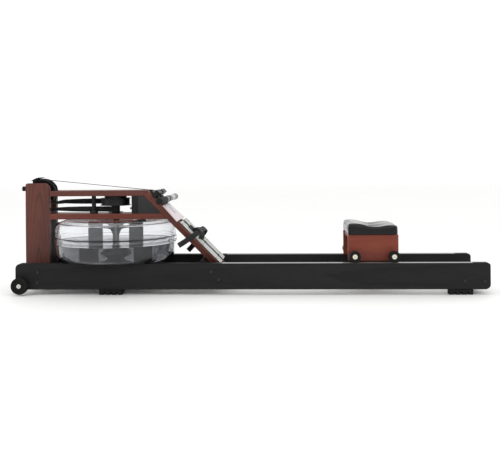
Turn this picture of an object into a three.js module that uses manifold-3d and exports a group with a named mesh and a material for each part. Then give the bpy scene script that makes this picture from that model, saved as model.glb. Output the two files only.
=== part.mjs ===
// Water rowing machine, in millimetres.
// X runs from the transport wheels to the tail, Y across, Z up from the floor.
import * as THREE from 'three';
import { mergeVertices } from 'three/addons/utils/BufferGeometryUtils.js';
import Module from 'manifold-3d';

const wasm = await Module();
wasm.setup();

// Clearances shared by the whole machine
const seatingGap = 0.3;
const runningGap = 0.3;
const overrun = 5;

// Feet, under both ends of each rail
const footHeight = 24.1;
const footLength = 104;
const footWidth = 36;
const footLobes = 4;
const footNotchWidth = 6;
const footNotchDepth = 13;
const frontFootSetback = 374;
const rearFootSetback = 74;

// Rails
const railRearX = 1047.5;
const railLength = 2084.5;
const railHeight = 114;
const railWidth = 40;
const machineHalfWidth = 176;
const railCornerRadius = 22;
const railTailTopRadius = 13;
const railFrontX = railRearX - railLength;
const railBottomZ = footHeight + seatingGap;
const railTopZ = railBottomZ + railHeight;
const railInnerY = machineHalfWidth - railWidth;
const railCentreY = machineHalfWidth - railWidth / 2;

// Track strips let into the rail tops
const trackStripWidth = 32;
const trackStripThickness = 2.4;
const trackFrontSetback = 918;
const trackRearSetback = 72;
const trackFrontX = railFrontX + trackFrontSetback;
const trackRearX = railRearX - trackRearSetback;

// Cross planks between the rails
const plankThickness = 22;
const frontPlankSetback = 89;
const frontPlankHeight = 80;
const frontPlankLift = 15.6;
const rearSpacerLength = 110;
const rearSpacerSetback = 13.5;
const rearSpacerLift = 24;

// Transport wheels
const transportWheelRadius = 37;
const transportWheelWidth = 30;
const transportWheelSetback = 26.5;
const transportWheelZ = 43.6;
const transportWheelHubRadius = 15;
const transportWheelDish = 4;
const transportTyreRound = 4;
const transportAxleRadius = 6;
const transportWasherRadius = 11;
const transportWasherThickness = 2;
const transportBoltHeadRadius = 10;
const transportBoltHeadHeight = 4;

// Front legs
const frameHalfWidth = 62;
const boardThickness = 24;
const legSetback = 7;
const legDepth = 111;
const legTopZ = 493;
const legFootLift = 6;
const legFrontRadius = 11;
const legRearRadius = 30;
const legSpacerThickness = 18;
const legSpacerRise = 4;
const bumperRadius = 11;
const bumperLength = 16;
const bumperDrop = 25;
const bumperRound = 3;
const legFrontX = railFrontX + legSetback;
const legRearX = legFrontX + legDepth;
const frameInnerY = frameHalfWidth - boardThickness;

// Decks and the slope
const deckThickness = 25;
const upperDeckTopZ = 456.9;
const lowerDeckTopZ = 351;
const deckCornerSetback = 119;
const slopeDegrees = 45.3;
const stringerDepth = 31.5;
const stringerFootZ = 60;
const pulleyNotchLength = 30;
const pulleyNotchWidth = 68;
const footboardPlankLength = 80;
const footboardPlankStart = 396;

// Bulkhead and side infills behind the drum
const bulkheadThickness = 30;
const bulkheadClearance = 17;
const infillThickness = 4;
const infillInset = 1;
const infillTopLength = 30;

// Boards on the slope
const displayStart = 98;
const displayEnd = 197;
const displayTopHalfWidth = 84;
const displayThickness = 6;
const plateStart = 206;
const plateEndZ = 130;
const plateOuterY = 118;
const plateGapHalf = 16;
const plateThickness = 10;

// Foot straps
const footStrapAlong = 277;
const footStrapWidth = 24;
const footStrapThickness = 2.4;
const footStrapDrop = 66;
const footStrapArch = 58;
const archRiseShare = 0.45;
const archShoulderShare = 0.86;
const archFallShare = 0.5;

// Top pulley, its axle and its guard
const topPulleySetback = 64;
const topPulleyZ = 450;
const pulleyGrooveRadius = 57;
const pulleyFlangeRadius = 63;
const pulleyHalfWidth = 18;
const pulleyGrooveHalfWidth = 14;
const pulleyHubHalfWidth = 32;
const pulleyHubRadius = 14;
const pulleyAxleRadius = 6;
const pulleyAxleSeat = 14;
const guardInnerRadius = 66;
const guardOuterRadius = 70;
const guardStartDegrees = 98;
const guardEndDegrees = 126;
const guardTipReach = 8;
const guardEarThickness = 3;
const guardEarDrop = 22;
const guardEarWidth = 11;

// Recoil pulley low between the legs, and the bungee that it feeds
const recoilPulleySetback = 55;
const recoilPulleyGrooveRadius = 22;
const recoilPulleyFlangeRadius = 27;
const recoilPulleyZ = 346;
const bungeeRadius = 4.5;
const bungeeZ = 32;
const bungeeTopZ = 150;
const bungeeBendRadius = 24;
const bungeeEndReach = 272;

// Webbing
const webbingWidth = 25;
const webbingThickness = 1.6;

// Drive drum on the tank axis
const strapDrumRadius = 65;
const strapDrumFlange = 3;
const strapDrumLip = 5;
const strapDrumBottomZ = 387;
const strapDrumTopZ = 421;
const clutchHubRadius = 51;
const clutchHubTopZ = 430;
const recoilDrumRadius = 20;
const recoilDrumFlangeRadius = 34;
const recoilDrumBottomZ = 354.6;
const recoilFlangeThickness = 2.5;
const shaftRadius = 8;
const bushFlangeRadius = 19;
const bushRadius = 13;
const bushFlangeThickness = 3;

// Strap guide post between drum and legs
const guidePostSetback = 92;
const guidePostY = -40;
const guidePostRadius = 10;
const guideBaseRadius = 19;
const guideBaseThickness = 14;

// Straps between pulleys and drum
const strapFlatSetback = 34;
const strapTwistLength = 142;
const upperStrapZ = 404.5;
const lowerStrapZ = 370.6;
const strapLeavesDegrees = 84.5;
const strapWrapEndDegrees = 278;
const strapCornerBack = 12;
const strapCornerOn = 26;
const strapSlopeLift = 9;
const recoilWrapStartDegrees = 180;
const recoilWrapEndDegrees = 90;
const drumWrapDegrees = 60;

// Tank
const tankFlangeRadius = 283;
const tankLegClearance = 10;
const tankBottomInset = 38;
const tankHeelInset = 21;
const tankHeelHeight = 8;
const tankWaistInset = 10;
const tankWaistHeight = 26;
const tankHeight = 185;
const tankSeamHeight = 94;
const tankBandHeight = 22;
const tankShoulderHeight = 143;
const tankShoulderInset = 4;
const tankCrownInset = 18;
const tankCrownDrop = 15;
const tankTopInset = 56;
const tankWall = 5;
const tankRimWidth = 8;
const tankNeckRadius = 58;
const tankNeckInnerRadius = 42;
const tankRimRound = 2;
const fillerSetback = 146;
const fillerY = -130;
const fillerRadius = 17;
const fillerCollarRadius = 22;
const fillerHeight = 5.5;
const fillerStemDepth = 4.5;

// Paddle inside the tank
const paddleShaftRadius = 15;
const paddleFunnelRadius = 89;
const paddleFunnelTopZ = 312;
const paddleFunnelRimThickness = 5;
const paddleFunnelNeckZ = 253;
const paddleFunnelWall = 4;
const paddleConeRadius = 60;
const paddleConeTopZ = 218;
const paddleBottomZ = 150;
const bladeCount = 4;
const bladeTurnDegrees = 13;
const bladeInnerRadius = 60;
const bladeOuterRadius = 126;
const bladeHeight = 162;
const bladeThickness = 5;
const bladeArmHeight = 16;

// Handle
const handleAlong = 86;
const handleLift = 28.9;
const handleLength = 480;
const handleCoreRadius = 11;
const handleGripRadius = 14;
const handleGripLength = 190;
const handleEndRound = 3;
const clampRadius = 19;
const clampHalfWidth = 16;
const clampLugLength = 12;
const clampLugHeight = 8;

// Handle rest on the slope
const restStart = 30;
const restEnd = 96;
const restFloorStart = 14;
const restFloorHalfWidth = 61;
const restBaseThickness = 12;
const restHornThickness = 20;
const restHornHeight = 36;
const restHalfWidth = 100;
const restSlotHalfWidth = 17;
const restFloorThickness = 3;

// Seat carriage
const seatSetback = 496;
const seatPanelLength = 222;
const seatPanelOuterY = 118;
const seatPanelThickness = 18;
const seatPanelLift = 2.6;
const seatPanelTopZ = 256;
const seatBaseThickness = 16;
const seatStretcherHeight = 46;
const seatStretcherThickness = 18;
const seatStretcherInset = 60;
const seatPanelRadius = 5;
const seatWheelRadius = 25.2;
const seatWheelWidth = 24;
const seatWheelHubProud = 2;
const seatWheelSpacing = 171.1;
const seatAxleRadius = 6;
const seatAxleCollarRadius = 10;
const seatTyreRound = 4;

// Seat pad
const padLength = 227;
const padHalfWidth = 136;
const padCornerRadius = 34;
const padFrontTopZ = 308;
const padDipTopZ = 293;
const padRearTopZ = 299;
const padEdgeRadius = 14;
const padWaistInset = 3;
const padFootInset = 9;
const padDishDepth = 7;
const padDishRadius = 46;
const padDishY = 62;
const padDipShare = 0.52;
const padDipWidth = 48;
const padTopInsetShares = [0.04, 0.16, 0.34, 0.54, 0.72, 0.88];

// Steps of round and swept pieces
const fineSegments = 40;
const wheelSegments = 24;
const smallSegments = 16;
const strapSteps = 36;
const wrapSteps = 24;
const twistSteps = 8;
const drumWrapSteps = 8;
const bungeeSteps = 36;
const padSteps = 56;

// Angles and places that follow from the sizes above
const slopeAngle = THREE.MathUtils.degToRad(slopeDegrees);
const slopeRun = Math.cos(slopeAngle);
const slopeRise = Math.sin(slopeAngle);
const lowerDeckBottomZ = lowerDeckTopZ - deckThickness;
const upperDeckBottomZ = upperDeckTopZ - deckThickness;
const topPulleyX = legFrontX + topPulleySetback;
const recoilPulleyX = legFrontX + recoilPulleySetback;
const tankX = legRearX + tankLegClearance + tankFlangeRadius;
const tankBottomRadius = tankFlangeRadius - tankBottomInset;
const tankHeelRadius = tankFlangeRadius - tankHeelInset;
const tankWaistRadius = tankFlangeRadius - tankWaistInset;
const fillerX = tankX + fillerSetback;
const bulkheadFrontX = tankX + strapDrumRadius + strapDrumLip + bulkheadClearance;
const bulkheadRearX = bulkheadFrontX + bulkheadThickness;
// The deck ends where the slope clears the tank, and leaves room for the side infills
const slopeClearOfTankX = tankX + tankFlangeRadius - deckCornerSetback;
const deckCornerX = Math.max(slopeClearOfTankX, bulkheadRearX + infillTopLength);
const guidePostX = tankX - guidePostSetback;
const strapFlatX = legRearX + strapFlatSetback;
const strapUprightX = strapFlatX + strapTwistLength;
const bungeeEndX = deckCornerX + bungeeEndReach;
const seatCentreX = railRearX - seatSetback;
const plateLift = seatingGap;
const plateTopLift = plateLift + plateThickness;
const pulleySeatY = frameInnerY + pulleyAxleSeat;
const spindleEndY = pulleySeatY - seatingGap;
const frontPlankFrontX = railFrontX + frontPlankSetback;
const frontPlankBottomZ = railBottomZ + frontPlankLift;
const frontPlankTopZ = frontPlankBottomZ + frontPlankHeight;
const mitreAlong = (deckThickness - stringerDepth * slopeRun) / slopeRise;
const pulleyStrapRadius = pulleyGrooveRadius + seatingGap * 2 + webbingThickness / 2;
const deckRideLift = seatingGap + webbingThickness / 2;
const tankBottomZ = railTopZ + seatingGap;
const tankTopZ = tankBottomZ + tankHeight;
const tankSeamZ = tankBottomZ + tankSeamHeight;
const seatWheelZ = railTopZ + runningGap + seatWheelRadius;
const seatWheelPlaces = [
  { label: 'front', x: seatCentreX - seatWheelSpacing / 2 },
  { label: 'rear', x: seatCentreX + seatWheelSpacing / 2 },
];
const acrossY = new THREE.Vector3(0, 1, 0);

/** A point on the slope: a distance down from the deck corner and a height square to it. */
function slopePoint(along, lift) {
  const x = deckCornerX + along * slopeRun + lift * slopeRise;
  const z = upperDeckTopZ - along * slopeRise + lift * slopeRun;
  return new THREE.Vector2(x, z);
}

/** Where a line parallel to the slope, at one lift, crosses a height. */
function slopeAtHeight(lift, z) {
  const along = (upperDeckTopZ + lift * slopeRun - z) / slopeRise;
  return slopePoint(along, lift);
}

/** Merges the corners, drops collapsed triangles and turns the faces outward. */
function closed(geometry) {
  geometry.deleteAttribute('normal');
  geometry.deleteAttribute('uv');
  const merged = mergeVertices(geometry, seatingGap / 1000);
  const source = merged.index.array;
  const place = merged.attributes.position;
  const kept = [];
  const corners = [new THREE.Vector3(), new THREE.Vector3(), new THREE.Vector3()];
  let volume = 0;
  for (let i = 0; i < source.length; i += 3) {
    const [a, b, c] = [source[i], source[i + 1], source[i + 2]];
    if (a === b || b === c || c === a) continue;
    kept.push(a, b, c);
    [a, b, c].forEach((index, k) => corners[k].fromBufferAttribute(place, index));
    volume += corners[0].dot(corners[1].clone().cross(corners[2]));
  }
  if (volume < 0) kept.reverse();
  merged.setIndex(kept);
  return merged;
}

/** A three.js geometry as a solid that can be joined and cut. */
function solidOf(geometry) {
  const ready = closed(geometry);
  const vertProperties = new Float32Array(ready.attributes.position.array);
  const triVerts = new Uint32Array(ready.index.array);
  return new wasm.Manifold(new wasm.Mesh({ numProp: 3, vertProperties, triVerts }));
}

/** A joined or cut solid back as a three.js geometry. */
function geometryOf(solid) {
  const mesh = solid.getMesh();
  const geometry = new THREE.BufferGeometry();
  const positions = new Float32Array(mesh.vertProperties);
  geometry.setAttribute('position', new THREE.BufferAttribute(positions, 3));
  geometry.setIndex(new THREE.BufferAttribute(new Uint32Array(mesh.triVerts), 1));
  return geometry;
}

/** One geometry with others cut from it. */
function cut(geometry, ...tools) {
  let solid = solidOf(geometry);
  for (const tool of tools) {
    solid = solid.subtract(solidOf(tool));
  }
  return geometryOf(solid);
}

/** Several geometries joined to one body. */
function joined(first, ...others) {
  let solid = solidOf(first);
  for (const other of others) {
    solid = solid.add(solidOf(other));
  }
  return geometryOf(solid);
}

/** A box between two corners. */
function block(low, high) {
  const size = high.clone().sub(low);
  const centre = low.clone().add(high).multiplyScalar(0.5);
  return new THREE.BoxGeometry(size.x, size.y, size.z).translate(centre.x, centre.y, centre.z);
}

/** An outline in X and Z, as thick as the span from lowY to highY. */
function plate(shape, lowY, highY, curveSegments = 8) {
  const settings = { depth: highY - lowY, bevelEnabled: false, curveSegments };
  return new THREE.ExtrudeGeometry(shape, settings).rotateX(Math.PI / 2).translate(0, highY, 0);
}

/** A closed outline through points in X and Z. */
function outline(points) {
  return new THREE.Shape(points);
}

/** A body of revolution about an upright axis; the profile holds radius and height pairs. */
function turnedUpright(profile, segments) {
  const points = profile.map(([r, h]) => new THREE.Vector2(r, h));
  return new THREE.LatheGeometry(points, segments).rotateX(Math.PI / 2);
}

/** A body of revolution about an axis along Y. */
function turnedAcross(profile, segments) {
  const points = profile.map(([r, h]) => new THREE.Vector2(r, h));
  return new THREE.LatheGeometry(points, segments);
}

/** A solid disc or rod about its own axis. */
function rodProfile(radius, low, high) {
  return [
    [0, low],
    [radius, low],
    [radius, high],
    [0, high],
  ];
}

/** Flat webbing along stations, each with a centre and the direction of its width. */
function webbing(stations, width, thickness) {
  const positions = [];
  const triangles = [];
  stations.forEach((station, i) => {
    const before = stations[Math.max(i - 1, 0)].centre;
    const after = stations[Math.min(i + 1, stations.length - 1)].centre;
    const along = after.clone().sub(before).normalize();
    const across = station.across.clone().addScaledVector(along, -station.across.dot(along));
    across.normalize();
    const face = along.clone().cross(across);
    for (const [w, t] of [[-1, -1], [1, -1], [1, 1], [-1, 1]]) {
      const corner = station.centre.clone();
      corner.addScaledVector(across, w * width / 2);
      corner.addScaledVector(face, t * thickness / 2);
      positions.push(corner.x, corner.y, corner.z);
    }
  });
  const last = (stations.length - 1) * 4;
  for (let i = 0; i < stations.length - 1; i += 1) {
    for (let k = 0; k < 4; k += 1) {
      const a = i * 4 + k;
      const b = i * 4 + (k + 1) % 4;
      triangles.push(a, b, b + 4, a, b + 4, a + 4);
    }
  }
  triangles.push(0, 2, 1, 0, 3, 2, last, last + 1, last + 2, last, last + 2, last + 3);
  const geometry = new THREE.BufferGeometry();
  geometry.setAttribute('position', new THREE.Float32BufferAttribute(positions, 3));
  geometry.setIndex(triangles);
  return geometry;
}

// Finishes
const finishes = {
  blackWood: { color: 0x2c2c2c, roughness: 0.55, metalness: 0 },
  stainedWood: { color: 0x6e443c, roughness: 0.45, metalness: 0 },
  redWood: { color: 0x8a4636, roughness: 0.45, metalness: 0 },
  track: { color: 0xb9b9b6, roughness: 0.5, metalness: 0 },
  rubber: { color: 0x1a1a1a, roughness: 0.8, metalness: 0 },
  blackPlastic: { color: 0x202020, roughness: 0.5, metalness: 0 },
  greyPlastic: { color: 0xb4b6b4, roughness: 0.55, metalness: 0 },
  gripGrey: { color: 0x5f6262, roughness: 0.6, metalness: 0 },
  infill: { color: 0x3c3c3c, roughness: 0.7, metalness: 0 },
  steel: { color: 0xb8b8b4, roughness: 0.35, metalness: 0.9 },
  webbing: { color: 0x161616, roughness: 0.9, metalness: 0 },
  clear: { color: 0xdfe6ea, roughness: 0.05, metalness: 0 },
  pad: { color: 0x2a2b2d, roughness: 0.6, metalness: 0 },
  paddle: { color: 0x55585a, roughness: 0.4, metalness: 0 },
  hub: { color: 0xd8d2bf, roughness: 0.5, metalness: 0 },
};

const rower = new THREE.Group();

/** Adds one named piece with its own material. */
function add(name, geometry, finish) {
  const mesh = new THREE.Mesh(closed(geometry), new THREE.MeshStandardMaterial(finishes[finish]));
  mesh.name = name;
  rower.add(mesh);
  return mesh;
}

const sides = [
  { label: 'near', sign: -1 },
  { label: 'far', sign: 1 },
];

/** Low and high Y of a span on one side, from its inner and outer distance. */
function spanOn(sign, inner, outer) {
  return sign > 0 ? [inner, outer] : [-outer, -inner];
}

/** Rail side outline with its three rounded corners. */
function railShape() {
  const shape = new THREE.Shape();
  const r = railCornerRadius;
  const t = railTailTopRadius;
  shape.moveTo(railFrontX + r, railBottomZ);
  shape.lineTo(railRearX - r, railBottomZ);
  shape.absarc(railRearX - r, railBottomZ + r, r, -Math.PI / 2, 0, false);
  shape.lineTo(railRearX, railTopZ - t);
  shape.absarc(railRearX - t, railTopZ - t, t, 0, Math.PI / 2, false);
  shape.lineTo(railFrontX + r, railTopZ);
  shape.absarc(railFrontX + r, railTopZ - r, r, Math.PI / 2, Math.PI, false);
  shape.lineTo(railFrontX, railBottomZ + r);
  shape.absarc(railFrontX + r, railBottomZ + r, r, Math.PI, Math.PI * 3 / 2, false);
  return shape;
}

/** A rail with the shallow channel that its track strip lies in. */
function rail(sign) {
  const [low, high] = spanOn(sign, railInnerY, machineHalfWidth);
  const centre = sign * railCentreY;
  const half = trackStripWidth / 2 + seatingGap;
  const bottom = railTopZ - trackStripThickness - seatingGap;
  const channel = block(
    new THREE.Vector3(trackFrontX - seatingGap, centre - half, bottom),
    new THREE.Vector3(trackRearX + seatingGap, centre + half, railTopZ + overrun),
  );
  return cut(plate(railShape(), low, high), channel);
}

function trackStrip(sign) {
  const centre = sign * railCentreY;
  return block(
    new THREE.Vector3(trackFrontX, centre - trackStripWidth / 2, railTopZ - trackStripThickness),
    new THREE.Vector3(trackRearX, centre + trackStripWidth / 2, railTopZ),
  );
}

/** A lobed foot: a block with round-topped notches in its sole. */
function foot(frontX, sign) {
  const [low, high] = spanOn(sign, railCentreY - footWidth / 2, railCentreY + footWidth / 2);
  const shape = new THREE.Shape();
  const lobe = (footLength - (footLobes - 1) * footNotchWidth) / footLobes;
  const r = footNotchWidth / 2;
  shape.moveTo(frontX, footHeight);
  shape.lineTo(frontX, 0);
  for (let i = 1; i < footLobes; i += 1) {
    const notchX = frontX + i * lobe + (i - 1) * footNotchWidth;
    shape.lineTo(notchX, 0);
    shape.lineTo(notchX, footNotchDepth - r);
    shape.absarc(notchX + r, footNotchDepth - r, r, Math.PI, 0, true);
    shape.lineTo(notchX + footNotchWidth, 0);
  }
  shape.lineTo(frontX + footLength, 0);
  shape.lineTo(frontX + footLength, footHeight);
  return plate(shape, low, high);
}

/** A transport wheel with a dished face and a bore for its bolt. */
function transportWheel(sign) {
  const inner = machineHalfWidth + transportWasherThickness + runningGap * 2;
  const outer = inner + transportWheelWidth;
  const bore = transportAxleRadius + runningGap;
  const t = transportTyreRound;
  const profile = [
    [bore, inner],
    [transportWheelRadius - t, inner],
    [transportWheelRadius, inner + t],
    [transportWheelRadius, outer - t],
    [transportWheelRadius - t, outer],
    [transportWheelHubRadius + t, outer],
    [transportWheelHubRadius, outer - transportWheelDish],
    [bore, outer - transportWheelDish],
    [bore, inner],
  ].map(([r, y]) => [r, sign * y]);
  const x = railFrontX + transportWheelSetback;
  return turnedAcross(profile, wheelSegments).translate(x, 0, transportWheelZ);
}

/** The shouldered bolt that a transport wheel turns on. */
function transportBolt(sign) {
  const start = machineHalfWidth + seatingGap;
  const washer = start + transportWasherThickness;
  const wheelOuter = machineHalfWidth + transportWasherThickness + runningGap * 2 + transportWheelWidth;
  const headStart = wheelOuter - transportWheelDish + runningGap;
  const headEnd = headStart + transportBoltHeadHeight;
  const profile = [
    [0, start],
    [transportWasherRadius, start],
    [transportWasherRadius, washer],
    [transportAxleRadius, washer],
    [transportAxleRadius, headStart],
    [transportBoltHeadRadius, headStart],
    [transportBoltHeadRadius, headEnd],
    [0, headEnd],
  ].map(([r, y]) => [r, sign * y]);
  const x = railFrontX + transportWheelSetback;
  return turnedAcross(profile, smallSegments).translate(x, 0, transportWheelZ);
}

/** A front leg, notched over the front plank, with blind bores inside for the pulley spindles. */
function frontLeg(sign) {
  const [low, high] = spanOn(sign, frameInnerY, frameHalfWidth);
  const bottom = railBottomZ + legFootLift;
  const shape = new THREE.Shape();
  shape.moveTo(legFrontX, bottom);
  shape.lineTo(legRearX, bottom);
  shape.lineTo(legRearX, legTopZ - legRearRadius);
  shape.absarc(legRearX - legRearRadius, legTopZ - legRearRadius, legRearRadius, 0, Math.PI / 2, false);
  shape.lineTo(legFrontX + legFrontRadius, legTopZ);
  shape.absarc(
    legFrontX + legFrontRadius, legTopZ - legFrontRadius, legFrontRadius,
    Math.PI / 2, Math.PI, false,
  );
  const notch = block(
    new THREE.Vector3(frontPlankFrontX - seatingGap, low - overrun, frontPlankBottomZ - seatingGap),
    new THREE.Vector3(legRearX + overrun, high + overrun, frontPlankTopZ + seatingGap),
  );
  const bores = [
    [topPulleyX, topPulleyZ],
    [recoilPulleyX, recoilPulleyZ],
  ].map(([x, z]) => turnedAcross(
    rodProfile(pulleyAxleRadius + seatingGap, ...spanOn(sign, frameInnerY - overrun, pulleySeatY)),
    smallSegments,
  ).translate(x, 0, z));
  return cut(plate(shape, low, high), notch, ...bores);
}

function frontPlank() {
  const half = railInnerY - seatingGap;
  return block(
    new THREE.Vector3(frontPlankFrontX, -half, frontPlankBottomZ),
    new THREE.Vector3(frontPlankFrontX + plankThickness, half, frontPlankTopZ),
  );
}

/** The sloping plank that the feet of the stringers are screwed to. */
function footboardPlank() {
  const half = railInnerY - seatingGap;
  const top = -stringerDepth - seatingGap;
  const bottom = top - plankThickness;
  const end = footboardPlankStart + footboardPlankLength;
  const points = [
    slopePoint(footboardPlankStart, top),
    slopePoint(footboardPlankStart, bottom),
    slopePoint(end, bottom),
    slopePoint(end, top),
  ];
  return plate(outline(points), -half, half);
}

/** The board between the legs, standing on the front plank below the straps. */
function legSpacer() {
  const half = frameInnerY - seatingGap;
  const rearX = legRearX;
  return block(
    new THREE.Vector3(rearX - legSpacerThickness, -half, frontPlankTopZ + seatingGap),
    new THREE.Vector3(rearX, half, lowerStrapZ - webbingWidth / 2 + legSpacerRise),
  );
}

function rearSpacer() {
  const half = railInnerY - seatingGap;
  const rearX = railRearX - rearSpacerSetback;
  const bottom = railBottomZ + rearSpacerLift;
  return block(
    new THREE.Vector3(rearX - rearSpacerLength, -half, bottom),
    new THREE.Vector3(rearX, half, bottom + plankThickness),
  );
}

/** A rubber knob on the front of a leg, turned about X. */
function bumper(sign) {
  const r = bumperRadius;
  const t = bumperRound;
  const profile = [
    [0, 0],
    [r, 0],
    [r, bumperLength - t],
    [r - t, bumperLength],
    [0, bumperLength],
  ];
  const y = sign * (frameHalfWidth - boardThickness / 2);
  const knob = turnedAcross(profile, smallSegments).rotateZ(Math.PI / 2);
  return knob.translate(legFrontX - seatingGap, y, legTopZ - bumperDrop);
}

/** The upper deck, mitred at its rear and notched round the top pulley. */
function upperDeck() {
  const frontX = legRearX + seatingGap;
  const mitre = slopePoint(mitreAlong, -stringerDepth);
  const points = [
    new THREE.Vector2(frontX, upperDeckBottomZ),
    new THREE.Vector2(mitre.x, upperDeckBottomZ),
    new THREE.Vector2(deckCornerX, upperDeckTopZ),
    new THREE.Vector2(frontX, upperDeckTopZ),
  ];
  const half = pulleyNotchWidth / 2;
  const notch = block(
    new THREE.Vector3(frontX - overrun, -half, upperDeckBottomZ - overrun),
    new THREE.Vector3(frontX + pulleyNotchLength, half, upperDeckTopZ + overrun),
  );
  return cut(plate(outline(points), -frameHalfWidth, frameHalfWidth), notch);
}

/** The lower deck, cut to the slope at its rear and bored for the shaft bush. */
function lowerDeck() {
  const frontX = legRearX + seatingGap;
  const lift = -stringerDepth - seatingGap;
  const topEnd = slopeAtHeight(lift, lowerDeckTopZ);
  const bottomEnd = slopeAtHeight(lift, lowerDeckBottomZ);
  const points = [
    new THREE.Vector2(frontX, lowerDeckBottomZ),
    bottomEnd,
    topEnd,
    new THREE.Vector2(frontX, lowerDeckTopZ),
  ];
  const bore = turnedUpright(
    rodProfile(bushRadius + seatingGap, lowerDeckBottomZ - overrun, lowerDeckTopZ + overrun),
    smallSegments,
  ).translate(tankX, 0, 0);
  return cut(plate(outline(points), -frameHalfWidth, frameHalfWidth), bore);
}

/** A sloping stringer, from the mitre down past the rail tops. */
function stringer(sign) {
  const [low, high] = spanOn(sign, frameInnerY, frameHalfWidth);
  const points = [
    slopePoint(seatingGap, 0),
    slopePoint(mitreAlong + seatingGap, -stringerDepth),
    slopeAtHeight(-stringerDepth, stringerFootZ),
    slopeAtHeight(0, stringerFootZ),
  ];
  return plate(outline(points), low, high);
}

/** The dark side infill between bulkhead, decks and stringer. */
function sideInfill(sign) {
  const outer = frameHalfWidth - infillInset;
  const [low, high] = spanOn(sign, outer - infillThickness, outer);
  const bottom = lowerDeckTopZ + seatingGap;
  const top = upperDeckBottomZ - seatingGap;
  const lift = -stringerDepth - seatingGap;
  const points = [
    new THREE.Vector2(bulkheadRearX + seatingGap, bottom),
    slopeAtHeight(lift, bottom),
    slopeAtHeight(lift, top),
    new THREE.Vector2(bulkheadRearX + seatingGap, top),
  ];
  return plate(outline(points), low, high);
}

function bulkhead() {
  const half = frameHalfWidth - infillInset;
  return block(
    new THREE.Vector3(bulkheadFrontX, -half, lowerDeckTopZ + seatingGap),
    new THREE.Vector3(bulkheadRearX, half, upperDeckBottomZ - seatingGap),
  );
}

/** A board laid along the slope between two distances, lifts and widths. */
function slopeSlab(start, end, bottomLift, topLift, lowY, highY) {
  const points = [
    slopePoint(start, topLift),
    slopePoint(start, bottomLift),
    slopePoint(end, bottomLift),
    slopePoint(end, topLift),
  ];
  return plate(outline(points), lowY, highY);
}

/** The display panel, which widens from its top edge to the width of the foot plates. */
function displayPanel() {
  const shape = outline([
    new THREE.Vector2(displayStart, -displayTopHalfWidth),
    new THREE.Vector2(displayEnd, -plateOuterY),
    new THREE.Vector2(displayEnd, plateOuterY),
    new THREE.Vector2(displayStart, displayTopHalfWidth),
  ]);
  const corner = slopePoint(0, seatingGap);
  const onSlope = new THREE.Matrix4().makeBasis(
    new THREE.Vector3(slopeRun, 0, -slopeRise), acrossY, new THREE.Vector3(slopeRise, 0, slopeRun),
  ).setPosition(corner.x, 0, corner.y);
  const settings = { depth: displayThickness, bevelEnabled: false };
  return new THREE.ExtrudeGeometry(shape, settings).applyMatrix4(onSlope);
}

/** A foot plate on the stringers, on one side of the middle gap, with a level lower end. */
function footPlate(sign) {
  const [low, high] = spanOn(sign, plateGapHalf, plateOuterY);
  const points = [
    slopePoint(plateStart, plateTopLift),
    slopePoint(plateStart, plateLift),
    slopeAtHeight(plateLift, plateEndZ),
    slopeAtHeight(plateTopLift, plateEndZ),
  ];
  return plate(outline(points), low, high);
}

/** A strap over the foot: from the middle of the footboard, over an arch and down past its edge. */
function footStrap(sign) {
  const outer = plateOuterY + seatingGap + footStrapThickness / 2;
  const inner = -footStrapDrop / 4;
  const route = [
    [plateGapHalf / 2, inner],
    [plateGapHalf / 2, plateTopLift],
    [plateGapHalf, footStrapArch * archRiseShare],
    [plateGapHalf + footStrapWidth, footStrapArch * archShoulderShare],
    [outer / 2, footStrapArch],
    [outer - footStrapWidth, footStrapArch * archShoulderShare],
    [outer, footStrapArch * archFallShare],
    [outer, 0],
    [outer, -footStrapDrop / 2],
    [outer, -footStrapDrop],
  ];
  const centreLine = new THREE.CatmullRomCurve3(route.map(([y, lift]) => {
    const place = slopePoint(footStrapAlong, lift);
    return new THREE.Vector3(place.x, sign * y, place.y);
  }), false, 'centripetal');
  const across = new THREE.Vector3(slopeRun, 0, -slopeRise);
  const stations = centreLine.getPoints(strapSteps).map((centre) => ({ centre, across }));
  return webbing(stations, footStrapWidth, footStrapThickness);
}

/** The grooved pulley for the pull strap. */
function topPulley() {
  const bore = pulleyAxleRadius + runningGap;
  const profile = pulleyProfile(bore, pulleyGrooveRadius, pulleyFlangeRadius);
  return turnedAcross(profile, wheelSegments).translate(topPulleyX, 0, topPulleyZ);
}

/** Half profile of a flanged pulley with a longer hub. */
function pulleyProfile(bore, groove, flange) {
  const w = pulleyHalfWidth;
  const g = pulleyGrooveHalfWidth;
  const h = pulleyHubHalfWidth;
  return [
    [bore, -h],
    [pulleyHubRadius, -h],
    [pulleyHubRadius, -w],
    [flange, -w],
    [flange, -g],
    [groove, -g],
    [groove, g],
    [flange, g],
    [flange, w],
    [pulleyHubRadius, w],
    [pulleyHubRadius, h],
    [bore, h],
    [bore, -h],
  ];
}

/** The low pulley, in one piece with the spindle that turns in both legs. */
function recoilPulley() {
  const profile = pulleyProfile(0, recoilPulleyGrooveRadius, recoilPulleyFlangeRadius).slice(0, -1);
  const wheel = turnedAcross(profile, wheelSegments);
  const spindle = turnedAcross(
    rodProfile(pulleyAxleRadius, -spindleEndY, spindleEndY), smallSegments,
  );
  return joined(wheel, spindle).translate(recoilPulleyX, 0, recoilPulleyZ);
}

/** A plain axle whose ends sit in the blind bores of both legs. */
function pulleyAxle() {
  const profile = rodProfile(pulleyAxleRadius, -spindleEndY, spindleEndY);
  return turnedAcross(profile, smallSegments).translate(topPulleyX, 0, topPulleyZ);
}

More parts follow.
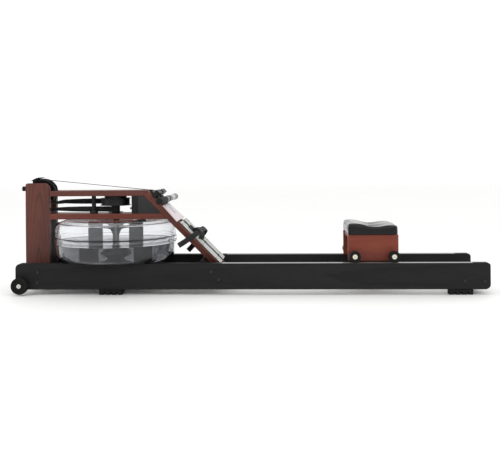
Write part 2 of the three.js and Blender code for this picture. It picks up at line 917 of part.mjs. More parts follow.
/** The curved guard over the front of the top pulley, with an ear on each leg. */
function pulleyGuard() {
  const start = THREE.MathUtils.degToRad(guardStartDegrees);
  const end = THREE.MathUtils.degToRad(guardEndDegrees);
  const shape = new THREE.Shape();
  shape.absarc(topPulleyX, topPulleyZ, guardInnerRadius, start, end, false);
  const tipX = topPulleyX + guardOuterRadius * Math.cos(end) - guardTipReach;
  const tipZ = topPulleyZ + guardInnerRadius * Math.sin(end);
  shape.lineTo(tipX, tipZ);
  shape.absarc(topPulleyX, topPulleyZ, guardOuterRadius, end, start, true);
  const half = frameInnerY - seatingGap;
  const guardThickness = guardOuterRadius - guardInnerRadius;
  const earTop = topPulleyZ + guardInnerRadius * Math.sin(end) + guardThickness / 2;
  const earX = topPulleyX + guardInnerRadius * Math.cos(end);
  const ears = sides.map(({ sign }) => {
    const [low, high] = spanOn(sign, half - guardEarThickness, half);
    return block(
      new THREE.Vector3(earX, low, earTop - guardEarDrop),
      new THREE.Vector3(earX + guardEarWidth, high, earTop),
    );
  });
  return joined(plate(shape, -half, half), ...ears);
}

/** Stations on an arc about Y, from one angle to another, with the webbing lying flat on it. */
function arcStations(x, z, radius, startDegrees, endDegrees, steps) {
  const stations = [];
  for (let i = 0; i <= steps; i += 1) {
    const angle = THREE.MathUtils.degToRad(startDegrees + (endDegrees - startDegrees) * i / steps);
    const centre = new THREE.Vector3(x + radius * Math.cos(angle), 0, z + radius * Math.sin(angle));
    stations.push({ centre, across: acrossY });
  }
  return stations;
}

/** The pull strap, from the top pulley over the deck corner to the clamp on the handle. */
function pullStrap() {
  const angle = THREE.MathUtils.degToRad(strapLeavesDegrees);
  const startX = topPulleyX + pulleyStrapRadius * Math.cos(angle);
  const startZ = topPulleyZ + pulleyStrapRadius * Math.sin(angle);
  const toCorner = slopePoint(strapCornerOn, strapSlopeLift);
  const clampFace = strapEndAt();
  const points = [
    [startX + seatingGap, startZ],
    [deckCornerX - strapCornerBack, upperDeckTopZ + deckRideLift + seatingGap],
    [deckCornerX, upperDeckTopZ + deckRideLift],
    [toCorner.x, toCorner.y],
    [clampFace.x, clampFace.y],
  ];
  const stations = points.map(([x, z]) => ({ centre: new THREE.Vector3(x, 0, z), across: acrossY }));
  return webbing(stations, webbingWidth, webbingThickness);
}

/** The middle of the clamp's lug, which the strap's end meets, uphill of the bar. */
function strapEndAt() {
  return slopePoint(handleAlong - clampRadius - clampLugLength - seatingGap, handleLift - clampLugHeight);
}

/** The strap from the top pulley, round its front and back under the deck to the strap drum. */
function mainStrap() {
  const wrap = arcStations(
    topPulleyX, topPulleyZ, pulleyStrapRadius, strapLeavesDegrees, strapWrapEndDegrees, wrapSteps,
  );
  return webbing([...wrap, ...runToDrum(
    strapDrumRadius + seatingGap + webbingThickness / 2, 1, upperStrapZ,
  )], webbingWidth, webbingThickness);
}

/** A run that turns from flat to upright on its way to a drum, then lies on the drum's side. */
function runToDrum(radius, sign, z) {
  const stations = [];
  const tangent = new THREE.Vector3(tankX, sign * radius, z);
  const start = new THREE.Vector3(strapFlatX, 0, z);
  const upright = new THREE.Vector3().lerpVectors(
    start, tangent, (strapUprightX - strapFlatX) / (tankX - strapFlatX),
  );
  for (let i = 0; i <= twistSteps; i += 1) {
    const turn = i / twistSteps * Math.PI / 2;
    const centre = new THREE.Vector3().lerpVectors(start, upright, i / twistSteps);
    stations.push({ centre, across: new THREE.Vector3(0, Math.cos(turn), -Math.sin(turn)) });
  }
  const away = new THREE.Vector3(0, 0, -1);
  for (let i = 0; i <= drumWrapSteps; i += 1) {
    const angle = THREE.MathUtils.degToRad(drumWrapDegrees * i / drumWrapSteps) + leanAngle(radius);
    const x = tankX + radius * Math.sin(angle - leanAngle(radius) * 2);
    const y = sign * radius * Math.cos(angle - leanAngle(radius) * 2);
    stations.push({ centre: new THREE.Vector3(x, y, z), across: away });
  }
  return stations;
}

/** How far the strap's tangent point is turned round its drum, because the strap runs slantwise. */
function leanAngle(radius) {
  return Math.asin(radius / (tankX - strapFlatX));
}

/** The recoil strap, from its drum forward over the low pulley and down into the sewn-on bungee. */
function recoilStrap() {
  const radius = recoilPulleyGrooveRadius + seatingGap * 2 + webbingThickness / 2;
  const drum = recoilDrumRadius + seatingGap + webbingThickness / 2;
  const wrap = arcStations(
    recoilPulleyX, recoilPulleyZ, radius, recoilWrapStartDegrees, recoilWrapEndDegrees, wrapSteps,
  );
  const tail = { centre: new THREE.Vector3(wrap[0].centre.x, 0, bungeeTopZ - overrun), across: acrossY };
  const stations = [tail, ...wrap, ...runToDrum(drum, -1, lowerStrapZ)];
  return joined(webbing(stations, webbingWidth, webbingThickness), bungee());
}

/** The bungee, down in front of the front plank, under it and back to the footboard plank. */
function bungee() {
  const section = new THREE.Shape();
  section.absarc(0, 0, bungeeRadius, 0, Math.PI * 2, false);
  const path = new THREE.CurvePath();
  const r = bungeeBendRadius;
  const x = recoilPulleyX - recoilPulleyGrooveRadius - seatingGap * 2 - webbingThickness / 2;
  const down = [new THREE.Vector3(x, 0, bungeeTopZ), new THREE.Vector3(x, 0, bungeeZ + r)];
  path.add(new THREE.LineCurve3(...down));
  path.add(new THREE.QuadraticBezierCurve3(
    down[1], new THREE.Vector3(x, 0, bungeeZ), new THREE.Vector3(x + r, 0, bungeeZ),
  ));
  path.add(new THREE.LineCurve3(
    new THREE.Vector3(x + r, 0, bungeeZ), new THREE.Vector3(bungeeEndX, 0, bungeeZ),
  ));
  return new THREE.ExtrudeGeometry(section, {
    extrudePath: path, steps: bungeeSteps, curveSegments: 3, bevelEnabled: false,
  });
}

/** The drum that the pull strap winds on, with its clutch hub on top. */
function strapDrum() {
  const bore = shaftRadius + runningGap;
  const low = strapDrumBottomZ;
  const high = strapDrumTopZ;
  const f = strapDrumFlange;
  const lip = strapDrumRadius + strapDrumLip;
  const profile = [
    [bore, low],
    [lip, low],
    [lip, low + f],
    [strapDrumRadius, low + f],
    [strapDrumRadius, high - f],
    [lip, high - f],
    [lip, high],
    [clutchHubRadius, high],
    [clutchHubRadius, clutchHubTopZ],
    [bore, clutchHubTopZ],
    [bore, low],
  ];
  return turnedUpright(profile, fineSegments).translate(tankX, 0, 0);
}

function recoilDrum() {
  const bore = shaftRadius + runningGap;
  const low = recoilDrumBottomZ;
  const high = strapDrumBottomZ - seatingGap;
  const f = recoilFlangeThickness;
  const profile = [
    [bore, low],
    [recoilDrumFlangeRadius, low],
    [recoilDrumFlangeRadius, low + f],
    [recoilDrumRadius, low + f],
    [recoilDrumRadius, high],
    [bore, high],
    [bore, low],
  ];
  return turnedUpright(profile, wheelSegments).translate(tankX, 0, 0);
}

/** The bush in the lower deck that the shaft runs in. */
function shaftBush() {
  const bore = shaftRadius + runningGap;
  const flangeLow = lowerDeckTopZ + seatingGap;
  const profile = [
    [bore, lowerDeckBottomZ],
    [bushRadius, lowerDeckBottomZ],
    [bushRadius, flangeLow],
    [bushFlangeRadius, flangeLow],
    [bushFlangeRadius, flangeLow + bushFlangeThickness],
    [bore, flangeLow + bushFlangeThickness],
    [bore, lowerDeckBottomZ],
  ];
  return turnedUpright(profile, smallSegments).translate(tankX, 0, 0);
}

function guidePost() {
  const low = lowerDeckTopZ + seatingGap;
  const high = upperDeckBottomZ - seatingGap;
  const profile = [
    [0, low],
    [guideBaseRadius, low],
    [guideBaseRadius, low + guideBaseThickness / 2],
    [guidePostRadius + guideBaseThickness / 2, low + guideBaseThickness],
    [guidePostRadius, low + guideBaseThickness],
    [guidePostRadius, high],
    [0, high],
  ];
  return turnedUpright(profile, smallSegments).translate(guidePostX, guidePostY, 0);
}

/** The lower bowl: a flat base, a rounded heel and a wall that leans out to the rim. */
function tankLower() {
  const top = tankSeamZ - seatingGap / 2;
  const w = tankWall;
  const rimZ = tankSeamZ - tankBandHeight / 2;
  const profile = [
    [0, tankBottomZ],
    [tankBottomRadius, tankBottomZ],
    [tankHeelRadius, tankBottomZ + tankHeelHeight],
    [tankWaistRadius, tankBottomZ + tankWaistHeight],
    [tankFlangeRadius - tankShoulderInset, rimZ - tankRimRound],
    [tankFlangeRadius, rimZ],
    [tankFlangeRadius, top],
    [tankFlangeRadius - tankRimWidth - w, top],
    [tankFlangeRadius - tankRimWidth - w, rimZ - w],
    [tankWaistRadius - w, tankBottomZ + tankWaistHeight + w / 2],
    [tankHeelRadius - w, tankBottomZ + tankHeelHeight + w],
    [tankBottomRadius - w, tankBottomZ + w],
    [0, tankBottomZ + w],
  ];
  return turnedUpright(profile, fineSegments).translate(tankX, 0, 0);
}

/** The upper shell: an upright wall, a round shoulder and a flat top with a neck under the deck. */
function tankUpper() {
  const bottom = tankSeamZ + seatingGap / 2;
  const w = tankWall;
  const rimZ = tankSeamZ + tankBandHeight / 2;
  const outer = tankFlangeRadius - tankShoulderInset;
  const shoulderZ = tankBottomZ + tankShoulderHeight;
  const rim = tankFlangeRadius;
  const neckTop = lowerDeckBottomZ - seatingGap;
  const profile = [
    [rim, bottom],
    [rim, rimZ],
    [outer, rimZ + tankRimRound],
    [outer, shoulderZ],
    [tankFlangeRadius - tankCrownInset, tankTopZ - tankCrownDrop],
    [tankFlangeRadius - tankTopInset, tankTopZ],
    [tankNeckRadius, tankTopZ],
    [tankNeckRadius, neckTop],
    [tankNeckInnerRadius, neckTop],
    [tankNeckInnerRadius, tankTopZ - w],
    [tankFlangeRadius - tankTopInset - w / 2, tankTopZ - w],
    [tankFlangeRadius - tankCrownInset - w, tankTopZ - tankCrownDrop - w],
    [outer - w, shoulderZ - w / 2],
    [outer - w, rimZ + w],
    [tankFlangeRadius - tankRimWidth - w, rimZ],
    [tankFlangeRadius - tankRimWidth - w, bottom],
    [rim, bottom],
  ];
  const hole = turnedUpright(
    rodProfile(fillerRadius + seatingGap, tankTopZ - w - overrun, tankTopZ + overrun), smallSegments,
  ).translate(fillerX, fillerY, 0);
  return cut(turnedUpright(profile, fineSegments).translate(tankX, 0, 0), hole);
}

/** The plug in the filling hole of the upper shell. */
function fillerPlug() {
  const seat = tankTopZ + seatingGap;
  const profile = [
    [0, seat - fillerStemDepth],
    [fillerRadius, seat - fillerStemDepth],
    [fillerRadius, seat],
    [fillerCollarRadius, seat],
    [fillerCollarRadius, seat + fillerHeight],
    [0, seat + fillerHeight],
  ];
  return turnedUpright(profile, smallSegments).translate(fillerX, fillerY, 0);
}

/** The paddle with its shaft, funnel, foot cone and blades as one turning piece. */
function paddle() {
  const shaftTop = upperDeckBottomZ - seatingGap;
  const stepZ = lowerDeckBottomZ - seatingGap;
  const profile = [
    [0, paddleBottomZ],
    [paddleConeRadius, paddleBottomZ],
    [paddleShaftRadius, paddleConeTopZ],
    [paddleShaftRadius, paddleFunnelNeckZ],
    [paddleFunnelRadius, paddleFunnelTopZ - paddleFunnelRimThickness],
    [paddleFunnelRadius, paddleFunnelTopZ],
    [paddleFunnelRadius - paddleFunnelWall, paddleFunnelTopZ],
    [paddleShaftRadius, paddleFunnelNeckZ + paddleFunnelWall * 2],
    [paddleShaftRadius, stepZ],
    [shaftRadius, stepZ],
    [shaftRadius, shaftTop],
    [0, shaftTop],
  ];
  const parts = [turnedUpright(profile, wheelSegments)];
  const half = bladeThickness / 2;
  for (let i = 0; i < bladeCount; i += 1) {
    const turn = THREE.MathUtils.degToRad(bladeTurnDegrees) + Math.PI * 2 * i / bladeCount;
    const arm = block(
      new THREE.Vector3(0, -half, paddleBottomZ),
      new THREE.Vector3(bladeInnerRadius + half, half, paddleBottomZ + bladeArmHeight),
    );
    const blade = block(
      new THREE.Vector3(bladeInnerRadius, -half, paddleBottomZ),
      new THREE.Vector3(bladeOuterRadius, half, paddleBottomZ + bladeHeight),
    );
    parts.push(arm.rotateZ(turn), blade.rotateZ(turn));
  }
  return joined(...parts).translate(tankX, 0, 0);
}

/** A straight bar, with its middle thinner than its two grips. */
function handleBar() {
  const half = handleLength / 2;
  const t = handleEndRound;
  const gripStart = half - handleGripLength;
  const profile = [
    [0, -half],
    [handleGripRadius - t, -half],
    [handleGripRadius, -half + t],
    [handleGripRadius, -gripStart],
    [handleCoreRadius, -gripStart],
    [handleCoreRadius, gripStart],
    [handleGripRadius, gripStart],
    [handleGripRadius, half - t],
    [handleGripRadius - t, half],
    [0, half],
  ];
  const place = slopePoint(handleAlong, handleLift);
  return turnedAcross(profile, smallSegments).translate(place.x, 0, place.y);
}

/** The clamp round the middle of the bar, with a lug that takes the end of the strap. */
function strapClamp() {
  const place = slopePoint(handleAlong, handleLift);
  const ring = turnedAcross(
    rodProfile(clampRadius, -clampHalfWidth, clampHalfWidth), smallSegments,
  ).translate(place.x, 0, place.y);
  const lug = slopeSlab(
    handleAlong - clampRadius - clampLugLength, handleAlong,
    handleLift - clampLugHeight * 3 / 2, handleLift - clampLugHeight / 2,
    -clampHalfWidth, clampHalfWidth,
  );
  const bore = turnedAcross(
    rodProfile(handleCoreRadius + seatingGap, -clampHalfWidth - overrun, clampHalfWidth + overrun),
    smallSegments,
  ).translate(place.x, 0, place.y);
  return cut(joined(ring, lug), bore);
}

/** The cradle on the slope that the bar lies in: a floor with a horn at each side of the strap. */
function handleRest() {
  const horn = slopeSlab(
    restStart, restStart + restHornThickness, seatingGap, restHornHeight, -restHalfWidth, restHalfWidth,
  );
  const floor = slopeSlab(
    restFloorStart, restEnd, seatingGap, restBaseThickness, -restFloorHalfWidth, restFloorHalfWidth,
  );
  const way = slopeSlab(
    restFloorStart - overrun, restEnd + overrun, restFloorThickness, restHornHeight + overrun,
    -restSlotHalfWidth, restSlotHalfWidth,
  );
  return cut(joined(horn, floor), way);
}

/** A side panel of the seat, bored for both axles. */
function seatSide(sign) {
  const [low, high] = spanOn(sign, seatPanelOuterY - seatPanelThickness, seatPanelOuterY);
  const left = seatCentreX - seatPanelLength / 2;
  const right = seatCentreX + seatPanelLength / 2;
  const bottom = railTopZ + seatPanelLift;
  const r = seatPanelRadius;
  const shape = new THREE.Shape();
  shape.moveTo(left + r, bottom);
  shape.lineTo(right - r, bottom);
  shape.absarc(right - r, bottom + r, r, -Math.PI / 2, 0, false);
  shape.lineTo(right, seatPanelTopZ);
  shape.lineTo(left, seatPanelTopZ);
  shape.lineTo(left, bottom + r);
  shape.absarc(left + r, bottom + r, r, Math.PI, Math.PI * 3 / 2, false);
  const bores = seatWheelPlaces.map(({ x }) => turnedAcross(
    rodProfile(seatAxleRadius + seatingGap, low - overrun, high + overrun), smallSegments,
  ).translate(x, 0, seatWheelZ));
  return cut(plate(shape, low, high), ...bores);
}

/** The seat's board and the two stretchers under it. */
function seatBase() {
  const half = seatPanelOuterY - seatPanelThickness - seatingGap;
  const left = seatCentreX - seatPanelLength / 2 + seatPanelRadius;
  const right = seatCentreX + seatPanelLength / 2 - seatPanelRadius;
  const board = block(
    new THREE.Vector3(left, -half, seatPanelTopZ - seatBaseThickness),
    new THREE.Vector3(right, half, seatPanelTopZ),
  );
  const stretchers = [-1, 1].map((end) => {
    const x = seatCentreX + end * seatStretcherInset;
    return block(
      new THREE.Vector3(x - seatStretcherThickness / 2, -half, seatPanelTopZ - seatStretcherHeight),
      new THREE.Vector3(x + seatStretcherThickness / 2, half, seatPanelTopZ - seatBaseThickness / 2),
    );
  });
  return joined(board, ...stretchers);
}

/** One axle across the seat, with a collar inside each wheel and a cap outside it. */
function seatAxle(x) {
  const inner = railCentreY - seatWheelWidth / 2 - runningGap;
  const outer = railCentreY + seatWheelWidth / 2 + runningGap;
  const collar = seatPanelOuterY + seatingGap;
  const end = outer + seatWheelHubProud;
  const half = [
    [seatAxleRadius, collar],
    [seatAxleCollarRadius, collar],
    [seatAxleCollarRadius, inner],
    [seatAxleRadius, inner],
    [seatAxleRadius, outer],
    [seatAxleCollarRadius, outer],
    [seatAxleCollarRadius, end],
    [0, end],
  ];
  const mirrored = half.map(([r, y]) => [r, -y]).reverse();
  return turnedAcross([...mirrored, ...half], smallSegments).translate(x, 0, seatWheelZ);
}

function seatWheel(x, sign) {
  const low = railCentreY - seatWheelWidth / 2;
  const high = railCentreY + seatWheelWidth / 2;
  const bore = seatAxleRadius + runningGap;
  const t = seatTyreRound;
  const profile = [
    [bore, low],
    [seatWheelRadius - t, low],
    [seatWheelRadius, low + t],
    [seatWheelRadius, high - t],
    [seatWheelRadius - t, high],
    [bore, high],
    [bore, low],
  ].map(([r, y]) => [r, sign * y]);
  return turnedAcross(profile, wheelSegments).translate(x, 0, seatWheelZ);
}

/** Height of the pad's crown over a place on it: two plateaus, a dip between and two hollows. */
function padCrown(x, y) {
  const share = (x - (seatCentreX - padLength / 2)) / padLength;
  const blend = THREE.MathUtils.smoothstep(share, 0, 1);
  const line = padFrontTopZ + (padRearTopZ - padFrontTopZ) * blend;
  const fromDip = (share - padDipShare) * padLength / padDipWidth;
  const sag = Math.exp(-fromDip * fromDip) * ((padFrontTopZ + padRearTopZ) / 2 - padDipTopZ);
  const away = Math.hypot(share * padLength - padDipShare * padLength, Math.abs(y) - padDishY);
  const dish = Math.exp(-((away / padDishRadius) ** 2)) * padDishDepth;
  return line - sag - dish;
}

/** Points on the pad's plan outline: a rounded rectangle drawn in by an inset. */
function padRing(inset) {
  const halfX = padLength / 2 - inset;
  const halfY = padHalfWidth - inset;
  const r = Math.max(padCornerRadius - inset, padEdgeRadius / 2);
  const shape = new THREE.Shape();
  shape.moveTo(halfX, -halfY + r);
  shape.lineTo(halfX, halfY - r);
  shape.absarc(halfX - r, halfY - r, r, 0, Math.PI / 2, false);
  shape.lineTo(-halfX + r, halfY);
  shape.absarc(-halfX + r, halfY - r, r, Math.PI / 2, Math.PI, false);
  shape.lineTo(-halfX, -halfY + r);
  shape.absarc(-halfX + r, -halfY + r, r, Math.PI, Math.PI * 3 / 2, false);
  shape.lineTo(halfX - r, -halfY);
  shape.absarc(halfX - r, -halfY + r, r, -Math.PI / 2, 0, false);
  return shape.getSpacedPoints(padSteps).slice(0, padSteps);
}

/** The seat cushion: a flat foot, drawn-in sides and a crowned, dished top. */
function seatPad() {
  const footZ = seatPanelTopZ + seatingGap;
  const levels = [
    [padFootInset, () => footZ],
    [padWaistInset, () => footZ + padEdgeRadius / 2],
    [0, (x, y) => (footZ + padCrown(x, y)) / 2],
    [padWaistInset / 2, (x, y) => padCrown(x, y) - padEdgeRadius],
    [padEdgeRadius / 2, (x, y) => padCrown(x, y) - padEdgeRadius / 4],
    ...padTopInsetShares.map((share) => [
      padEdgeRadius + share * (padLength / 2 - padEdgeRadius), padCrown,
    ]),
  ];
  const positions = [];
  const triangles = [];
  for (const [inset, height] of levels) {
    for (const point of padRing(inset)) {
      const x = seatCentreX + point.x;
      positions.push(x, point.y, height(x, point.y));
    }
  }
  for (let k = 0; k < levels.length - 1; k += 1) {
    for (let i = 0; i < padSteps; i += 1) {
      const a = k * padSteps + i;
      const b = k * padSteps + (i + 1) % padSteps;
      triangles.push(a, b, b + padSteps, a, b + padSteps, a + padSteps);
    }
  }
  const top = (levels.length - 1) * padSteps;
  const bottomCentre = positions.length / 3;
  positions.push(seatCentreX, 0, footZ);
  for (let i = 0; i < padSteps; i += 1) {
    triangles.push(bottomCentre, (i + 1) % padSteps, i);
  }
  // The innermost ring closes as a strip, because it is a long slot
  for (let i = 0; i < padSteps / 2 - 1; i += 1) {
    const [a, b] = [i, i + 1];
    const [c, d] = [padSteps - 1 - i, padSteps - 2 - i];
    triangles.push(top + a, top + b, top + d, top + a, top + d, top + c);
  }
  const geometry = new THREE.BufferGeometry();
  geometry.setAttribute('position', new THREE.Float32BufferAttribute(positions, 3));
  geometry.setIndex(triangles);
  return geometry;
}

// Base frame
for (const { label, sign } of sides) {
  add(`rail_${label}`, rail(sign), 'blackWood');
  add(`track_strip_${label}`, trackStrip(sign), 'track');
  add(`foot_front_${label}`, foot(railFrontX + frontFootSetback, sign), 'rubber');
  add(`foot_rear_${label}`, foot(railRearX - rearFootSetback - footLength, sign), 'rubber');
  add(`transport_wheel_${label}`, transportWheel(sign), 'rubber');
  add(`transport_bolt_${label}`, transportBolt(sign), 'steel');
}
add('front_cross_plank', frontPlank(), 'blackWood');
add('footboard_cross_plank', footboardPlank(), 'blackWood');
add('rear_spacer', rearSpacer(), 'blackWood');
add('leg_spacer', legSpacer(), 'blackWood');

// Main frame
for (const { label, sign } of sides) {
  add(`front_leg_${label}`, frontLeg(sign), 'stainedWood');
  add(`bumper_${label}`, bumper(sign), 'rubber');
  add(`stringer_${label}`, stringer(sign), 'stainedWood');
  add(`side_infill_${label}`, sideInfill(sign), 'infill');
  add(`foot_plate_${label}`, footPlate(sign), 'greyPlastic');
  add(`foot_strap_${label}`, footStrap(sign), 'webbing');
}
add('upper_deck', upperDeck(), 'stainedWood');
add('lower_deck', lowerDeck(), 'stainedWood');
add('bulkhead', bulkhead(), 'blackPlastic');
add('display_panel', displayPanel(), 'greyPlastic');
add('handle_rest', handleRest(), 'blackPlastic');

// Drive
add('top_pulley', topPulley(), 'blackPlastic');
add('top_pulley_axle', pulleyAxle(), 'steel');
add('top_pulley_guard', pulleyGuard(), 'blackPlastic');
add('recoil_pulley', recoilPulley(), 'blackPlastic');
add('pull_strap', pullStrap(), 'webbing');
add('main_strap', mainStrap(), 'webbing');
add('recoil_strap', recoilStrap(), 'webbing');
add('strap_drum', strapDrum(), 'blackPlastic');
add('recoil_drum', recoilDrum(), 'blackPlastic');
add('shaft_bush', shaftBush(), 'blackPlastic');
add('strap_guide_post', guidePost(), 'blackPlastic');
add('handle_bar', handleBar(), 'gripGrey');
add('strap_clamp', strapClamp(), 'blackPlastic');

// Tank
add('tank_lower', tankLower(), 'clear');
add('tank_upper', tankUpper(), 'clear');
add('filler_plug', fillerPlug(), 'blackPlastic');
add('paddle', paddle(), 'paddle');

// Seat
for (const { label, sign } of sides) {
  add(`seat_side_${label}`, seatSide(sign), 'redWood');
}
add('seat_base', seatBase(), 'redWood');
add('seat_pad', seatPad(), 'pad');
for (const { label: end, x } of seatWheelPlaces) {
  add(`seat_axle_${end}`, seatAxle(x), 'hub');
  for (const { label, sign } of sides) {
    add(`seat_wheel_${end}_${label}`, seatWheel(x, sign), 'rubber');
  }
}

export default rower;
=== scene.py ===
"""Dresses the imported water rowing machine: boards, turned parts, webbing, tank, water and seat."""
import logging
import math
from dataclasses import dataclass
from enum import Enum

import bmesh
import bpy
import numpy as np
from mathutils import Matrix, Vector


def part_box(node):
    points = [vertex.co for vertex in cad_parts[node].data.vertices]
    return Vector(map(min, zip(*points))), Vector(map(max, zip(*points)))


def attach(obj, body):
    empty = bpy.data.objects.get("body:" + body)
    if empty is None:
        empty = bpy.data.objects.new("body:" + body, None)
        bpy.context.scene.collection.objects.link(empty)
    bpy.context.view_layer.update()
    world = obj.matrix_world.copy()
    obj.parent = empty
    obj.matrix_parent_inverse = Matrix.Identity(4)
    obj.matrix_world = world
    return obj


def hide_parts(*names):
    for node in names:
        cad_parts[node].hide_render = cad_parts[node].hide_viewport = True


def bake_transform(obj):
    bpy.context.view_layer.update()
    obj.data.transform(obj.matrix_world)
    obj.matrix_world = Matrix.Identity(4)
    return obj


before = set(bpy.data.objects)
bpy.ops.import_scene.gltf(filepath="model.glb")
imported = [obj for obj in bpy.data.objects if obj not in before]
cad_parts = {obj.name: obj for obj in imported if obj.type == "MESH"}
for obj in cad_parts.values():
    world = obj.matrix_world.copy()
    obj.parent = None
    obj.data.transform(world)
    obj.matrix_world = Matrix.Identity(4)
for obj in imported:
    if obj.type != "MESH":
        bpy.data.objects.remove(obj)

LOG = logging.getLogger("rower")
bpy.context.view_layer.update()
SIDES = {"near": -1.0, "far": 1.0}
Pair = tuple[float, float]
Triple = tuple[float, float, float]
Piece = bpy.types.Object
Socket = bpy.types.NodeSocket


class Axis(Enum):
    """The direction that a turned piece's own axis takes."""

    X = (2, 0, 1)
    Y = (0, 2, 1)
    Z = (0, 1, 2)


# Shader node helpers


class Nodes:
    """Adds and joins nodes in one shader tree."""

    def __init__(self, tree: bpy.types.NodeTree) -> None:
        """Keeps the tree that the nodes go into."""
        self.tree = tree

    def feed(self, node: bpy.types.Node, values: dict) -> None:
        """Gives a node's inputs, by name or index, their values or the outputs that feed them."""
        for key, value in values.items():
            socket = node.inputs[key]
            if isinstance(value, Socket):
                self.tree.links.new(value, socket)
            else:
                socket.default_value = value

    def add(self, kind: str, values: dict | None = None, **settings: object) -> bpy.types.Node:
        """Adds a node.

        Args:
            kind: the node's type name without its ShaderNode prefix.
            values: what its inputs get, by name or index.
            settings: properties of the node itself.

        Returns:
            The new node.
        """
        node = self.tree.nodes.new("ShaderNode" + kind)
        for key, value in settings.items():
            setattr(node, key, value)
        self.feed(node, values or {})
        return node

    def place(self) -> Socket:
        """The object's own coordinates."""
        return self.add("TexCoord").outputs["Object"]

    def calc(self, kind: str, *values: object) -> Socket:
        """Puts up to three numbers or outputs through one Math node and returns its output."""
        return self.add("Math", dict(enumerate(values)), operation=kind).outputs[0]

    def plus(self, first: object, second: object) -> Socket:
        """The sum of two numbers or outputs."""
        return self.calc("ADD", first, second)

    def times(self, first: object, second: object) -> Socket:
        """The product of two numbers or outputs."""
        return self.calc("MULTIPLY", first, second)

    def noise(self, vector: Socket, by: object, detail: float) -> Socket:
        """A noise value over a vector, stretched by one number or output, or by one number for each part."""
        if isinstance(by, tuple):
            vector, by = self.add("VectorMath", {0: vector, 1: by}, operation="MULTIPLY").outputs[0], 1.0
        return self.add("TexNoise", {"Vector": vector, "Scale": by, "Detail": detail}).outputs[0]

    def ramp(self, value: Socket, low: float, high: float) -> Socket:
        """A value eased from 0 at low to 1 at high."""
        return self.add("MapRange", {0: value, 1: low, 2: high}, interpolation_type="SMOOTHSTEP").outputs[0]

    def mix(self, factor: object, first: object, second: object) -> Socket:
        """A colour between two colours or colour outputs."""
        return self.add("Mix", {0: factor, 6: first, 7: second}, data_type="RGBA").outputs[2]

    def bump(self, height: Socket, strength: float, depth: float) -> Socket:
        """The normal of a surface with a height on it."""
        return self.add("Bump", {"Height": height, "Strength": strength, "Distance": depth}).outputs[0]


def group_tree(name: str, inputs: tuple[str, ...], outputs: tuple[str, ...]) -> tuple:
    """Starts a shader node group, in which each socket is a number, except the one called Vector.

    Args:
        name: the group's name.
        inputs: the names of the input sockets.
        outputs: the names of the output sockets.

    Returns:
        The group's node helper, its inputs by name and its output node.
    """
    tree = bpy.data.node_groups.new(name, "ShaderNodeTree")
    for way, labels in (("INPUT", inputs), ("OUTPUT", outputs)):
        for label in labels:
            kind = "NodeSocketVector" if label == "Vector" else "NodeSocketFloat"
            tree.interface.new_socket(name=label, in_out=way, socket_type=kind)
    return Nodes(tree), tree.nodes.new("NodeGroupInput").outputs, tree.nodes.new("NodeGroupOutput")


def wood_figure_group() -> bpy.types.NodeTree:
    """Growth rings cut by a flat face: rings round a tilted pith, warped by noise, with fine pores.

    The vector's X runs along the grain, Y across the face and Z into the board.

    Returns:
        The group, which gives Late, Pores, Drift and Height.
    """
    n, given, out = group_tree(
        "wood_figure", ("Vector", "Pitch", "Depth", "Tilt", "Warp"), ("Late", "Pores", "Drift", "Height")
    )
    vector = given["Vector"]
    broad = n.noise(vector, (4.0, 11.0, 11.0), 2.0)
    fine = n.noise(vector, (14.0, 80.0, 80.0), 3.0)
    parts = n.add("SeparateXYZ", {0: vector}).outputs
    across = n.plus(parts[1], n.times(n.calc("SUBTRACT", broad, 0.5), given["Warp"]))
    into = n.plus(n.plus(parts[2], given["Depth"]), n.times(parts[0], given["Tilt"]))
    pith = n.calc("SQRT", n.plus(n.times(across, across), n.times(into, into)))
    turns = n.calc("DIVIDE", n.plus(pith, n.times(n.calc("SUBTRACT", fine, 0.5), 0.004)), given["Pitch"])
    ring = n.calc("FRACT", turns)
    edge = n.times(n.calc("POWER", ring, 3.0), n.calc("SUBTRACT", 1.0, n.ramp(ring, 0.88, 1.0)))
    year = n.add("TexNoise", {"W": n.times(turns, 0.8), "Scale": 1.0, "Detail": 1.0}, noise_dimensions="1D")
    late = n.times(edge, n.calc("MULTIPLY_ADD", n.ramp(year.outputs[0], 0.35, 0.65), 0.9, 0.25))
    pores = n.ramp(n.noise(vector, (22.0, 900.0, 900.0), 2.0), 0.54, 0.70)
    drift = n.noise(vector, (2.0, 9.0, 9.0), 2.0)
    height = n.times(n.plus(n.times(late, 0.4), pores), -0.7)
    n.feed(out, {"Late": late, "Pores": pores, "Drift": drift, "Height": height})
    return n.tree


def mould_grain_group() -> bpy.types.NodeTree:
    """The fine pebble of moulded plastic and rubber, with a slow drift in tone.

    Returns:
        The group, which gives Pebble, Drift and Height.
    """
    n, given, out = group_tree("mould_grain", ("Vector", "Scale"), ("Pebble", "Drift", "Height"))
    vector, scale = given["Vector"], given["Scale"]
    cells = n.add("TexVoronoi", {"Vector": vector, "Scale": scale}).outputs["Distance"]
    speck = n.noise(vector, n.times(scale, 0.5), 4.0)
    height = n.plus(n.times(cells, 0.6), n.times(speck, 0.4))
    n.feed(out, {"Pebble": speck, "Drift": n.noise(vector, 9.0, 3.0), "Height": height})
    return n.tree


def weave_group() -> bpy.types.NodeTree:
    """Tight webbing weave over a strap's own UV, in metres: slanted ribs across and picks along.

    Returns:
        The group, which gives Thread.
    """
    n, given, out = group_tree("webbing_weave", ("Vector", "Pitch"), ("Thread",))
    parts = n.add("SeparateXYZ", {0: given["Vector"]}).outputs
    across, along = (n.calc("DIVIDE", part, given["Pitch"]) for part in parts[:2])
    slant = n.plus(along, n.calc("PINGPONG", across, 4.0))
    fold, pick = (n.calc("ABSOLUTE", n.calc("SINE", n.times(wave, math.pi))) for wave in (across, slant))
    n.feed(out, {"Thread": n.times(fold, pick)})
    return n.tree


